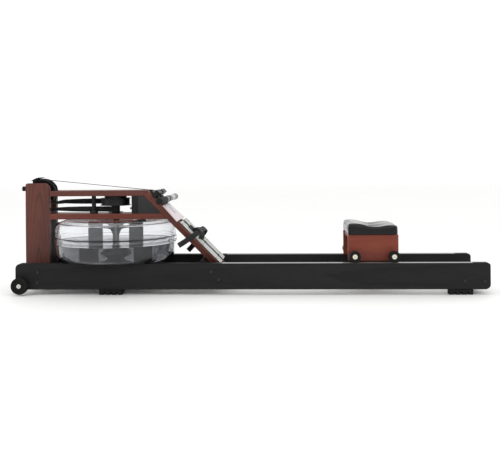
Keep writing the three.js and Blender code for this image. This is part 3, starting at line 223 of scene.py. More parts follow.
GROUPS = {"wood": wood_figure_group(), "mould": mould_grain_group(), "weave": weave_group()}


def rgba(colour: Triple, scale: float = 1.0) -> tuple[float, float, float, float]:
    """A display colour, 0 to 255 each, as the linear colour that shaders use."""
    linear = [((c / 255 + 0.055) / 1.055) ** 2.4 if c > 10 else c / 255 / 12.92 for c in colour]
    return (linear[0] * scale, linear[1] * scale, linear[2] * scale, 1.0)


@dataclass(frozen=True)
class Finish:
    """The base of the finishes: a name, and a colour of 0 to 255 each."""

    name: str
    colour: Triple

    def build(self) -> bpy.types.Material:
        """Makes the material and returns it."""
        material = bpy.data.materials.new(self.name)
        material.use_nodes = True
        n = Nodes(material.node_tree)
        n.feed(n.tree.nodes["Principled BSDF"], self.inputs(n))
        return material

    def inputs(self, n: Nodes) -> dict:
        """What the shader's inputs get, by name."""
        return {"Base Color": rgba(self.colour)}

    def toned(self, n: Nodes, factor: Socket, low: float, high: float) -> Socket:
        """The colour between two strengths of itself."""
        return n.mix(factor, rgba(self.colour, low), rgba(self.colour, high))


@dataclass(frozen=True)
class Wood(Finish):
    """Stained and varnished wood with a drawn figure.

    The turn, in degrees about X, Y and Z, lays the grain along the piece.
    """

    dark: Triple
    turn: Triple
    centre: Triple
    pitch: float = 0.011
    depth: float = 0.02
    tilt: float = 0.05
    warp: float = 0.03
    contrast: float = 0.9
    pores: float = 0.3
    roughness: float = 0.42
    specular: float = 0.25

    def inputs(self, n: Nodes) -> dict:
        """The stain, darkened by late rings, by a slow drift and by the pores."""
        moved = n.add("VectorMath", {0: n.place(), 1: self.centre}, operation="SUBTRACT").outputs[0]
        laid = n.add("Mapping", {"Vector": moved, "Rotation": tuple(math.radians(a) for a in self.turn)}).outputs[0]
        given = {"Vector": laid, "Pitch": self.pitch, "Depth": self.depth, "Tilt": self.tilt, "Warp": self.warp}
        figure = n.add("Group", given, node_tree=GROUPS["wood"]).outputs
        dark = rgba(self.dark)
        body = n.mix(n.times(figure["Late"], self.contrast), rgba(self.colour), dark)
        drifted = n.mix(n.times(n.ramp(figure["Drift"], 0.3, 0.75), 0.35), body, dark)
        return {
            "Base Color": n.mix(n.times(figure["Pores"], self.pores), drifted, rgba(self.dark, 0.45)),
            "Roughness": n.plus(n.times(figure["Pores"], 0.12), self.roughness),
            "Specular IOR Level": self.specular,
            "Normal": n.bump(figure["Height"], 0.35, 0.0004),
        }


@dataclass(frozen=True)
class Moulded(Finish):
    """Moulded plastic, rubber, skin or painted fittings with a fine pebble."""

    roughness: float
    scale: float
    relief: float
    specular: float
    tones: Pair = (0.75, 1.25)
    pebble: float = 0.16
    depth: float = 0.0003

    def inputs(self, n: Nodes) -> dict:
        """The colour between its two tones, and a pebble in both gloss and relief."""
        given = {"Vector": n.place(), "Scale": self.scale}
        grain = n.add("Group", given, node_tree=GROUPS["mould"]).outputs
        return {
            "Base Color": self.toned(n, grain["Drift"], *self.tones),
            "Roughness": n.plus(n.times(grain["Pebble"], self.pebble), self.roughness - 0.08),
            "Specular IOR Level": self.specular,
            "Normal": n.bump(grain["Height"], self.relief, self.depth),
        }


@dataclass(frozen=True)
class Metal(Finish):
    """Bright plated steel with fine turning marks."""

    roughness: float = 0.3

    def inputs(self, n: Nodes) -> dict:
        """Marks that change both the tone and the gloss."""
        marks = n.noise(n.place(), (40.0, 2600.0, 40.0), 2.0)
        rough = n.plus(n.times(marks, 0.15), self.roughness - 0.07)
        return {"Base Color": self.toned(n, marks, 0.8, 1.0), "Roughness": rough, "Metallic": 1.0}


@dataclass(frozen=True)
class Webbing(Finish):
    """Black woven webbing, patterned over each strap's own UV map."""

    pitch: float = 0.0016

    def inputs(self, n: Nodes) -> dict:
        """Threads that stand out of their gaps: the colour follows the thread height, with painted shade in the gaps.
        """
        given = {"Vector": n.add("UVMap", uv_map="strap").outputs[0], "Pitch": self.pitch}
        thread = n.add("Group", given, node_tree=GROUPS["weave"]).outputs["Thread"]
        # Painted shade: the colour drops to under half in the gaps between the threads.
        return {
            "Base Color": self.toned(n, thread, 0.45, 1.35),
            "Roughness": 0.85,
            "Sheen Weight": 0.15,
            "Normal": n.bump(thread, 0.6, 0.0005),
        }


@dataclass(frozen=True)
class ClearShell(Finish):
    """Clear moulded polycarbonate, whose polish drifts faintly."""

    def inputs(self, n: Nodes) -> dict:
        """A clear body, with the flow of the moulding in its gloss."""
        return {
            "Base Color": rgba(self.colour),
            "Roughness": n.times(n.noise(n.place(), (5.0, 5.0, 16.0), 2.0), 0.012),
            "Transmission Weight": 1.0,
            "IOR": 1.3,
            "Specular IOR Level": 0.8,
        }


@dataclass(frozen=True)
class StillWater(Finish):
    """Dark still water, seen through the tank wall."""

    def inputs(self, n: Nodes) -> dict:
        """A clear body whose tint drifts."""
        murk = n.noise(n.place(), (6.0, 6.0, 14.0), 3.0)
        return {
            "Base Color": self.toned(n, murk, 0.9, 1.1),
            "Roughness": 0.01,
            "Transmission Weight": 1.0,
            "IOR": 1.33,
        }


@dataclass(frozen=True)
class PaleFloor(Finish):
    """The set's floor, with a faint drift to a second tone."""

    second: Triple

    def inputs(self, n: Nodes) -> dict:
        """The colour between the two tones."""
        tone = n.noise(n.place(), 0.6, 2.0)
        return {"Base Color": n.mix(tone, rgba(self.colour), rgba(self.second)), "Roughness": 0.6}


BROWN = (97.0, 53.0, 44.0)
BROWN_DARK = (49.0, 30.0, 27.0)
# On the lower deck this lighter brown is painted light, standing in for the light that falls there.
LIGHT_BROWN = (116.0, 60.0, 48.0)
LIGHT_BROWN_DARK = (62.0, 34.0, 30.0)
RED_BROWN = (122.0, 55.0, 38.0)
RED_BROWN_DARK = (74.0, 35.0, 28.0)
BLACK_STAIN = (35.0, 35.0, 36.0)
BLACK_STAIN_DARK = (20.0, 20.0, 20.0)
LEVEL_GRAIN = (90.0, 0.0, 0.0)
UPRIGHT_GRAIN = (90.0, 0.0, 90.0)
SLOPE_DEGREES = 45.3
SLOPED_GRAIN = (90.0, 0.0, -SLOPE_DEGREES)

FINISHES = (
    Wood("leg_wood", BROWN, BROWN_DARK, UPRIGHT_GRAIN, (-0.967, 0.0, 0.30), depth=0.032, tilt=-0.09, warp=0.02),
    Wood(
        "deck_wood", BROWN, BROWN_DARK, LEVEL_GRAIN, (-0.7, 0.0, 0.39), pitch=0.007, tilt=0.02, depth=0.08,
        contrast=0.5,
    ),
    # Painted light: the lower deck's wood is a lighter copy of the deck wood, for the light that falls on the lower
    # deck.
    Wood(
        "lower_deck_lit_wood", LIGHT_BROWN, LIGHT_BROWN_DARK, LEVEL_GRAIN, (-0.7, 0.05, 0.31), pitch=0.008, tilt=0.02,
        depth=0.08, contrast=0.5,
    ),
    Wood(
        "stringer_wood", LIGHT_BROWN, LIGHT_BROWN_DARK, SLOPED_GRAIN, (-0.3, 0.0, 0.28), pitch=0.008, tilt=0.03,
        depth=0.06, contrast=0.5,
    ),
    Wood(
        "seat_wood", RED_BROWN, RED_BROWN_DARK, LEVEL_GRAIN, (0.5, 0.0, 0.2), pitch=0.012, tilt=0.04, depth=0.03,
        warp=0.05, contrast=0.6,
    ),
    Wood(
        "rail_wood", BLACK_STAIN, BLACK_STAIN_DARK, LEVEL_GRAIN, (0.0, 0.0, 0.08), pitch=0.014, tilt=0.02, depth=0.03,
        contrast=0.6, pores=0.4, roughness=0.6, specular=0.12,
    ),
    Moulded("track", (104.0, 104.0, 102.0), 0.26, 900.0, 0.03, 0.5, tones=(0.94, 1.06)),
    Moulded("rubber", (21.0, 21.0, 21.0), 0.7, 1400.0, 0.35, 0.15),
    Moulded("black_plastic", (16.0, 16.0, 17.0), 0.42, 2200.0, 0.2, 0.22),
    Moulded("grey_plastic", (184.0, 186.0, 184.0), 0.5, 1500.0, 0.2, 0.3, tones=(0.95, 1.05)),
    # Painted reflection: the display panel's pinkish white stands in for the white surroundings reflected in its
    # varnish at a grazing angle.
    Moulded("display", (206.0, 192.0, 196.0), 0.3, 500.0, 0.02, 0.4, tones=(0.96, 1.04)),
    Moulded("grip", (144.0, 146.0, 146.0), 0.65, 1000.0, 0.5, 0.15, tones=(0.88, 1.12)),
    # Painted shade: the near grip's finish, darker than the far grip's, though both grips are one dark foam.
    Moulded("grip_dark_shaded", (30.0, 30.0, 31.0), 0.65, 1000.0, 0.5, 0.1),
    Moulded("band", (196.0, 196.0, 193.0), 0.4, 1500.0, 0.1, 0.3, tones=(0.95, 1.05)),
    Moulded("infill", (52.0, 52.0, 53.0), 0.7, 700.0, 0.6, 0.15, tones=(0.88, 1.12)),
    Metal("steel", (205.0, 205.0, 200.0)),
    Moulded("black_steel", (24.0, 24.0, 25.0), 0.32, 2600.0, 0.1, 0.35),
    Webbing("webbing", (17.0, 17.0, 18.0)),
    ClearShell("clear", (246.0, 247.0, 249.0)),
    StillWater("water", (96.0, 96.0, 99.0)),
    Moulded("pad", (20.0, 20.0, 21.0), 0.16, 900.0, 0.12, 0.2, tones=(0.8, 1.25), pebble=0.10, depth=0.0005),
    Moulded("paddle", (140.0, 140.0, 142.0), 0.4, 500.0, 0.1, 0.3, tones=(0.65, 1.35)),
    Moulded("hub", (218.0, 212.0, 192.0), 0.4, 1500.0, 0.1, 0.3, tones=(0.94, 1.06)),
)
MATERIALS = {finish.name: finish.build() for finish in FINISHES}


# Mesh helpers


def linked(name: str, data: bpy.types.ID) -> Piece:
    """A new object round its data, linked to the scene."""
    made = bpy.data.objects.new(name, data)
    bpy.context.scene.collection.objects.link(made)
    return made


def new_piece(name: str, points: np.ndarray, faces: list, sharp_degrees: float = 35.0) -> Piece:
    """Makes a mesh object from points and faces, welds its poles and turns it outward.

    Args:
        name: the piece's name.
        points: an N by 3 array, in metres.
        faces: index tuples of any length over three.
        sharp_degrees: edges sharper than this stay crisp.

    Returns:
        The object, linked to the scene, with its place in its mesh.
    """
    mesh = bpy.data.meshes.new(name)
    mesh.from_pydata(points.tolist(), [], [tuple(face) for face in faces])
    work = bmesh.new()
    work.from_mesh(mesh)
    bmesh.ops.remove_doubles(work, verts=work.verts, dist=2e-6)
    bmesh.ops.dissolve_degenerate(work, edges=work.edges, dist=1e-7)
    bmesh.ops.recalc_face_normals(work, faces=work.faces)
    work.to_mesh(mesh)
    work.free()
    mesh.polygons.foreach_set("use_smooth", np.ones(len(mesh.polygons), bool))
    mesh.set_sharp_from_angle(angle=math.radians(sharp_degrees))
    return linked(name, mesh)


def grid_faces(rows: int, columns: int, close_rows: bool = False) -> list:
    """Quads over a grid of points stored row by row, which closes on itself along each row.

    Returns:
        The point indices of each quad.
    """
    i, j = np.meshgrid(np.arange(rows if close_rows else rows - 1), np.arange(columns), indexing="ij")
    below, right = (i + 1) % rows, (j + 1) % columns
    corners = [i * columns + j, i * columns + right, below * columns + right, below * columns + j]
    return np.stack(corners, axis=-1).reshape(-1, 4).tolist()


def skin(name: str, rings: np.ndarray, sharp_degrees: float = 35.0) -> Piece:
    """A skin over a rows by columns by 3 array of points, with its first and last rings closed."""
    rows, columns = rings.shape[:2]
    caps = [list(range(columns)), list(range((rows - 1) * columns, rows * columns))]
    return new_piece(name, rings.reshape(-1, 3), grid_faces(rows, columns) + caps, sharp_degrees)


def rounded(corners: list[Pair], radii: float | list[float], steps: int = 5, closed: bool = True) -> np.ndarray:
    """Corner points with each corner turned into an arc.

    Each arc is tangent to both of its sides: its centre lies on the bisector at radius over the sine of half
    the angle, and a radius is cut to what its shorter side can hold.

    Args:
        corners: the corner points in order.
        radii: how round they are, one number for all or one for each.
        steps: how many steps each arc takes.
        closed: False where the first and last points are ends, which stay sharp.

    Returns:
        An N by 2 array along the outline.
    """
    places = np.array(corners, float)
    count = len(places)
    sizes = np.broadcast_to(np.array(radii, float), (count,))
    made = []
    for i, (place, radius) in enumerate(zip(places, sizes)):
        back, ahead = places[i - 1] - place, places[(i + 1) % count] - place
        shorter = min(np.linalg.norm(back), np.linalg.norm(ahead))
        u, v = back / np.linalg.norm(back), ahead / np.linalg.norm(ahead)
        half = math.acos(float(np.clip(u @ v, -1.0, 1.0))) / 2
        end = not closed and i in (0, count - 1)
        if end or radius <= 0 or half > math.radians(89.0):
            made.append(place[None])
            continue
        reach = min(radius / math.tan(half), 0.49 * shorter)
        true = reach * math.tan(half)
        centre = place + (u + v) / np.linalg.norm(u + v) * true / math.sin(half)
        first, last = place + u * reach - centre, place + v * reach - centre
        start = math.atan2(first[1], first[0])
        sweep = (math.atan2(last[1], last[0]) - start + math.pi) % (2 * math.pi) - math.pi
        angle = start + sweep * np.linspace(0.0, 1.0, steps + 1)
        made.append(centre + true * np.stack([np.cos(angle), np.sin(angle)], axis=-1))
    return np.concatenate(made)


def turned(
    name: str, corners: list[Pair], radii: float | list[float], centre: Triple | Vector, axis: Axis, segments: int,
    steps: int = 5, loop: bool = False, way: float = 1.0,
) -> Piece:
    """A body of revolution, whose profile has rounded corners.

    Each profile row is a radius and a height along the axis, and the surface is
    (radius cos a, radius sin a, height) over the turn a.

    Args:
        name: the piece's name.
        corners: the corners of its profile.
        radii: how round they are, one number for all or one for each.
        centre: where the axis starts.
        axis: the direction of the axis.
        segments: how many steps the turn takes.
        steps: how many steps each round corner takes.
        loop: True where the profile closes on itself, as on a ring.
        way: -1 where the heights run against the axis.

    Returns:
        The piece.
    """
    profile = rounded(corners, radii, steps, closed=loop)
    angle = np.linspace(0.0, 2 * math.pi, segments, endpoint=False)
    radius, height = profile[:, 0, None], profile[:, 1, None] * way
    flat = [radius * np.cos(angle), radius * np.sin(angle), height + 0 * angle]
    points = np.stack([flat[k] for k in axis.value], axis=-1).reshape(-1, 3) + np.array(centre)
    return new_piece(name, points, grid_faces(len(profile), segments, close_rows=loop))


def run_along(path: np.ndarray) -> np.ndarray:
    """How far along a path each of its points lies."""
    return np.concatenate([[0.0], np.cumsum(np.linalg.norm(np.diff(path, axis=0), axis=1))])


def evenly(path: np.ndarray, count: int, endpoint: bool = True) -> np.ndarray:
    """A number of points spaced evenly along a path, with or without its last."""
    run = run_along(path)
    even = np.linspace(0.0, run[-1], count, endpoint=endpoint)
    return np.stack([np.interp(even, run, column) for column in path.T], axis=-1)


def smooth_path(points: list[Triple], steps: int) -> np.ndarray:
    """A curve through given points, sampled evenly along its length.

    Between two points the place is the cubic that passes through both with its neighbours' slopes.

    Returns:
        An N by 3 array.
    """
    p = np.array(points, float)
    p = np.concatenate([2 * p[:1] - p[1:2], p, 2 * p[-1:] - p[-2:-1]])
    t = np.linspace(0.0, 1.0, 16, endpoint=False)[:, None]
    pieces = [
        0.5 * (2 * b + (c - a) * t + (2 * a - 5 * b + 4 * c - d) * t**2 + (3 * b - a - 3 * c + d) * t**3)
        for a, b, c, d in zip(p[:-3], p[1:-2], p[2:-1], p[3:])
    ]
    return evenly(np.concatenate([*pieces, p[-2:-1]]), steps)


def unit(rows: np.ndarray) -> np.ndarray:
    """Each row of an array brought to length one."""
    return rows / np.linalg.norm(rows, axis=1, keepdims=True)


def places_of(piece: Piece) -> np.ndarray:
    """The places of a mesh's points, an N by 3 array."""
    places = np.empty(len(piece.data.vertices) * 3)
    piece.data.vertices.foreach_get("co", places)
    return places.reshape(-1, 3)


def sweep_along(name: str, path: np.ndarray, across: np.ndarray, shape: np.ndarray, woven: bool = False) -> Piece:
    """A section carried along a path, with its ends closed.

    At each station the section's first number goes along the width direction and its second along the face
    normal, which is the path's direction crossed with the width.

    Args:
        name: the piece's name.
        path: an N by 3 array.
        across: the width direction at each place, or one for all.
        shape: the section, an M by 2 array.
        woven: True for a UV map of metres across and along.

    Returns:
        The piece.
    """
    along = unit(np.gradient(path, axis=0))
    side = unit(across - (across * along).sum(axis=1, keepdims=True) * along)
    rings = path[:, None] + side[:, None] * shape[None, :, :1] + np.cross(along, side)[:, None] * shape[None, :, 1:]
    piece = skin(name, rings, 60.0)
    if woven:
        mesh, places = piece.data, places_of(piece)
        nearest = np.argmin(((places[:, None] - path[None]) ** 2).sum(axis=-1), axis=1)
        wide = ((places - path[nearest]) * side[nearest]).sum(axis=1)
        pairs = np.stack([wide, run_along(path)[nearest]], axis=-1)
        corner = np.empty(len(mesh.loops), np.int32)
        mesh.loops.foreach_get("vertex_index", corner)
        mesh.uv_layers.new(name="strap").data.foreach_set("uv", pairs[corner].astype(np.float32).ravel())
    return piece


@dataclass(frozen=True)
class Strap:
    """Flat webbing of one size, with rounded edges."""

    width: float
    thickness: float

    def lay(self, name: str, path: np.ndarray, across: np.ndarray) -> Piece:
        """A length of it along a path, with the width direction at each place, or one for all."""
        w, t = self.width / 2, self.thickness / 2
        section = rounded([(-w, -t), (w, -t), (w, t), (-w, t)], t * 0.9, steps=3)
        return sweep_along(name, path, across, section, woven=True)


def slab(name: str, outline: np.ndarray, *ends: float) -> Piece:
    """A plate: an outline in X and Z carried straight between two Ys, given in either order."""
    rings = [np.stack([outline[:, 0], np.full(len(outline), y), outline[:, 1]], axis=-1) for y in sorted(ends)]
    return skin(name, np.array(rings), 25.0)


def ease(piece: Piece, edge: float, segments: int = 3) -> None:
    """Rounds a piece's sharp edges with live modifiers and keeps its flat faces flat."""
    easing = piece.modifiers.new("easing", "BEVEL")
    easing.width = edge
    easing.segments = segments
    easing.limit_method = "ANGLE"
    easing.angle_limit = math.radians(32.0)
    easing.use_clamp_overlap = True
    flat = piece.modifiers.new("flat_faces", "WEIGHTED_NORMAL")
    flat.weight = 100


def dress(piece: Piece, finish: str, body: str, *nodes: str, slot: str = "") -> None:
    """Gives a piece its finish and body, and hides the frame nodes that it stands for.

    Args:
        piece: the piece.
        finish: the name of its finish.
        body: the body that it rides.
        nodes: the frame nodes that it replaces.
        slot: not used.
    """
    piece.data.materials.clear()
    piece.data.materials.append(MATERIALS[finish])
    if nodes:
        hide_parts(*nodes)
    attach(piece, body)
    LOG.info("%s: %d faces, rides %s", piece.name, len(piece.data.polygons), body)


def fit(node: str, edge: float, finish: str, body: str = "frame", segments: int = 3) -> None:
    """Makes and dresses a board or fitting that is cut like its frame node, with its edges eased.

    Args:
        node: the frame node that the piece takes its cuts from and replaces.
        edge: how wide the easing is.
        finish: the name of its finish.
        body: the body that it rides.
        segments: how many faces round the easing.
    """
    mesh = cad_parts[node].data.copy()
    mesh.name = node + "_eased"
    work = bmesh.new()
    work.from_mesh(mesh)
    bmesh.ops.remove_doubles(work, verts=work.verts, dist=5e-6)
    bmesh.ops.dissolve_limit(work, angle_limit=math.radians(0.6), verts=work.verts, edges=work.edges)
    work.to_mesh(mesh)
    work.free()
    mesh.polygons.foreach_set("use_smooth", np.ones(len(mesh.polygons), bool))
    piece = linked(node + "_eased", mesh)
    ease(piece, edge, segments)
    dress(piece, finish, body, node)


def span(node: str) -> tuple[Vector, Vector, Vector]:
    """The low corner, the middle and the high corner of a frame node's box."""
    low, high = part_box(node)
    return low, (low + high) / 2, high


def join(name: str, pieces: list[Piece]) -> Piece:
    """Joins pieces of one finish to one object, and returns it."""
    work = bmesh.new()
    for piece in pieces:
        work.from_mesh(piece.data)
        bpy.data.objects.remove(piece)
    mesh = bpy.data.meshes.new(name)
    work.to_mesh(mesh)
    work.free()
    return linked(name, mesh)


@dataclass(frozen=True)
class Slope:
    """The plane that the foot plates lie on, from the deck corner down."""

    corner_x: float
    corner_z: float
    run: float = math.cos(math.radians(SLOPE_DEGREES))
    rise: float = math.sin(math.radians(SLOPE_DEGREES))

    def point(self, along: float, lift: float) -> Pair:
        """X and Z of a place a distance down the slope and a height square to it."""
        x = self.corner_x + along * self.run + lift * self.rise
        return x, self.corner_z - along * self.rise + lift * self.run

    def at_height(self, lift: float, z: float) -> float:
        """How far down the slope a line at one lift meets a height."""
        return (self.corner_z + lift * self.run - z) / self.rise

    def outline(self, pairs: list[Pair]) -> np.ndarray:
        """X and Z rows of places given as distances down the slope and lifts."""
        return np.array([self.point(along, lift) for along, lift in pairs])

    def block(self, name: str, along: Pair, lifts: Pair, *ends: float) -> Piece:
        """A plate between two distances down the slope, two lifts and two Ys."""
        (start, end), (low, high) = along, lifts
        return slab(name, self.outline([(start, low), (end, low), (end, high), (start, high)]), *ends)

    def lay(self, piece: Piece, along: float, lift: float, y: float) -> None:
        """Moves a mesh built upright about the origin to a place on the slope, square to it."""
        x, z = self.point(along, lift)
        turn = Matrix.Rotation(math.radians(SLOPE_DEGREES), 4, "Y")
        piece.data.transform(Matrix.Translation((x, y, z)) @ turn)


SLOPE = Slope(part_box("upper_deck")[1].x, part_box("upper_deck")[1].z)


@dataclass(frozen=True)
class Screw:
    """A round screw head with a hexagon socket, set in a face."""

    radius: float = 0.007
    height: float = 0.003
    socket: float = 0.0035
    depth: float = 0.0018

    def head(self, name: str, place: Triple, axis: Axis, way: float) -> Piece:
        """A head whose underside is at a place and whose top points along the axis, either way."""
        r, h, s = self.radius, self.height, self.socket
        corners = [(0.0, 0.0), (r, 0.0), (r, h), (s, h), (s, h - self.depth), (0.0, h - self.depth)]
        return turned(name, corners, [0.0, 0.0, h * 0.6, 0.0003, 0.0002, 0.0], place, axis, 30, steps=4, way=way)


@dataclass
class Base:
    """The rails on their feet, the planks between them and the transport wheels."""

    rail_edge: float = 0.0018
    plank_edge: float = 0.0012
    foot_edge: float = 0.0032
    strip_edge: float = 0.0006
    bolt_edge: float = 0.0008
    wheel_radius: float = 0.037
    wheel_round: float = 0.006
    wheel_lip: float = 0.009
    wheel_slope: float = 0.002
    wheel_dish: float = 0.004
    wheel_hub: float = 0.014
    hub_drop: float = 0.001
    bore: float = 0.0063
    screw: Screw = Screw()
    screw_places: tuple[Pair, ...] = (
        (-0.936, 0.100), (-0.938, 0.055), (-0.165, 0.103), (-0.131, 0.068), (0.938, 0.060), (1.021, 0.059),
    )

    def make(self) -> None:
        """Builds and dresses every piece of the base."""
        for side, sign in SIDES.items():
            fit(f"rail_{side}", self.rail_edge, "rail_wood")
            fit(f"track_strip_{side}", self.strip_edge, "track", segments=2)
            for end in ("front", "rear"):
                fit(f"foot_{end}_{side}", self.foot_edge, "rubber")
            self.wheel(side, sign)
            self.screws(side, sign)
        for node in ("front_cross_plank", "footboard_cross_plank", "rear_spacer", "leg_spacer"):
            fit(node, self.plank_edge, "rail_wood")

    def wheel(self, side: str, sign: float) -> None:
        """A transport wheel with a rounded tread and a dished face, and its bolt."""
        node = f"transport_wheel_{side}"
        low, middle, high = span(node)
        half, r, hub, e = (high.y - low.y) / 2, self.wheel_radius, self.wheel_hub, self.hub_drop
        lip, slope, dish = r - self.wheel_lip, self.wheel_slope, half - self.wheel_dish
        ring = [
            (self.bore, -half), (r, -half), (r, half), (lip, half), (lip - slope, dish), (hub + slope, dish),
            (hub, half - e), (self.bore, half - e),
        ]
        radii = [0.0, self.wheel_round, self.wheel_round, e, e, e, e, 0.0]
        wheel = turned(f"transport_tyre_{side}", ring, radii, middle, Axis.Y, 96, steps=6, loop=True, way=sign)
        dress(wheel, "rubber", node, node)
        fit(f"transport_bolt_{side}", self.bolt_edge, "steel")

    def screws(self, side: str, sign: float) -> None:
        """The cap screws of the planks, in the outer face of a rail."""
        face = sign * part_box("rail_far")[1].y
        heads = [
            self.screw.head(f"rail_screw_{i}", (x, face, z), Axis.Y, sign)
            for i, (x, z) in enumerate(self.screw_places)
        ]
        dress(join(f"rail_screws_{side}", heads), "black_steel", "frame")


@dataclass
class MainFrame:
    """Legs, decks, stringers and the dark panels between them."""

    wood_edge: float = 0.0016
    infill_edge: float = 0.0006
    bulkhead_edge: float = 0.001
    panel_edge: float = 0.0012
    panel_top: float = 0.0064
    slot_along: Pair = (0.118, 0.158)
    slot_width: float = 0.014
    slot_lift: float = 0.0008
    lip_shift: float = 0.007
    lip_lift: float = 0.0014
    bumper_round: float = 0.004
    bumper_seat_round: float = 0.0005
    hook_width: float = 0.022
    hook_height: float = 0.026
    hook_reach: float = 0.017
    hook_tip: float = 0.0096
    hook_thickness: float = 0.004
    hook_round: float = 0.0008
    hook_clear: Pair = (0.0004, 0.0003)

    def make(self) -> None:
        """Builds and dresses every piece of the main frame."""
        for side in SIDES:
            fit(f"front_leg_{side}", self.wood_edge, "leg_wood")
            fit(f"stringer_{side}", self.wood_edge, "stringer_wood")
            fit(f"side_infill_{side}", self.infill_edge, "infill", segments=2)
            self.bumper(side)
        fit("upper_deck", self.wood_edge, "deck_wood")
        # The lower deck's lighter wood is painted light.
        fit("lower_deck", self.wood_edge, "lower_deck_lit_wood")
        fit("bulkhead", self.bulkhead_edge, "black_plastic")
        # The display finish's pinkish white is a painted reflection.
        fit("display_panel", self.panel_edge, "display")
        self.panel_slot("display_slot", self.slot_width, self.slot_lift, "black_plastic")
        self.panel_slot("display_slot_lip", self.lip_shift, self.lip_lift, "band")
        self.hook()

    def panel_slot(self, name: str, end: float, lift: float, finish: str) -> None:
        """A thin strip on the display panel, one slot's width across, up to an end in Y."""
        lifts = (self.panel_top, self.panel_top + lift)
        strip = SLOPE.block(name, self.slot_along, lifts, end - self.slot_width, end)
        dress(strip, finish, "frame", slot="display")

    def bumper(self, side: str) -> None:
        """A domed rubber knob on the front of a leg."""
        low, middle, high = span(f"bumper_{side}")
        radius, length = (high.z - low.z) / 2, high.x - low.x
        corners = [(0.0, 0.0), (radius, 0.0), (radius, -length), (0.0, -length)]
        radii = [0.0, self.bumper_round, self.bumper_seat_round, 0.0]
        knob = turned(f"bumper_knob_{side}", corners, radii, (high.x, middle.y, middle.z), Axis.X, 48, steps=6)
        dress(knob, "rubber", "frame", f"bumper_{side}")

    def hook(self) -> None:
        """The small angle bracket on the lower deck, in front of the bulkhead."""
        behind, below = self.hook_clear
        foot = [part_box("bulkhead")[0].x - behind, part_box("lower_deck")[1].z + below]
        t, h, reach, tip = self.hook_thickness, self.hook_height, self.hook_reach, self.hook_height - self.hook_tip
        outline = rounded(
            [(0.0, 0.0), (0.0, h), (-reach, h), (-reach, tip), (t - reach, tip), (t - reach, h - t), (-t, h - t),
             (-t, 0.0)],
            self.hook_round, steps=3,
        )
        half = self.hook_width / 2
        dress(slab("strap_hook", outline + foot, -half, half), "black_steel", "frame")


# Distances down the slope, distances from the middle plane and lifts of each foot strap and its loose end
STRAP_ROUTES = {
    "near": [
        (0.277, 0.008, -0.016), (0.279, 0.008, 0.0103), (0.284, 0.016, 0.024), (0.292, 0.036, 0.040),
        (0.297, 0.061, 0.046), (0.298, 0.092, 0.041), (0.296, 0.118, 0.022), (0.292, 0.1205, 0.0),
        (0.286, 0.1215, -0.033), (0.278, 0.1205, -0.069),
    ],
    "far": [
        (0.277, 0.008, -0.016), (0.280, 0.008, 0.0103), (0.288, 0.016, 0.022), (0.298, 0.036, 0.036),
        (0.304, 0.061, 0.041), (0.305, 0.092, 0.036), (0.303, 0.118, 0.020), (0.300, 0.1205, 0.0),
        (0.297, 0.1215, -0.030), (0.292, 0.1205, -0.060),
    ],
}
LOOSE_ROUTES = {
    "near": [(0.300, 0.085, 0.0485), (0.310, 0.100, 0.046), (0.322, 0.110, 0.034), (0.328, 0.108, 0.020)],
    "far": [
        (0.306, 0.085, 0.0435), (0.312, 0.110, 0.036), (0.317, 0.1245, 0.012), (0.320, 0.1255, -0.03),
        (0.322, 0.1255, -0.065), (0.323, 0.1245, -0.098),
    ],
}


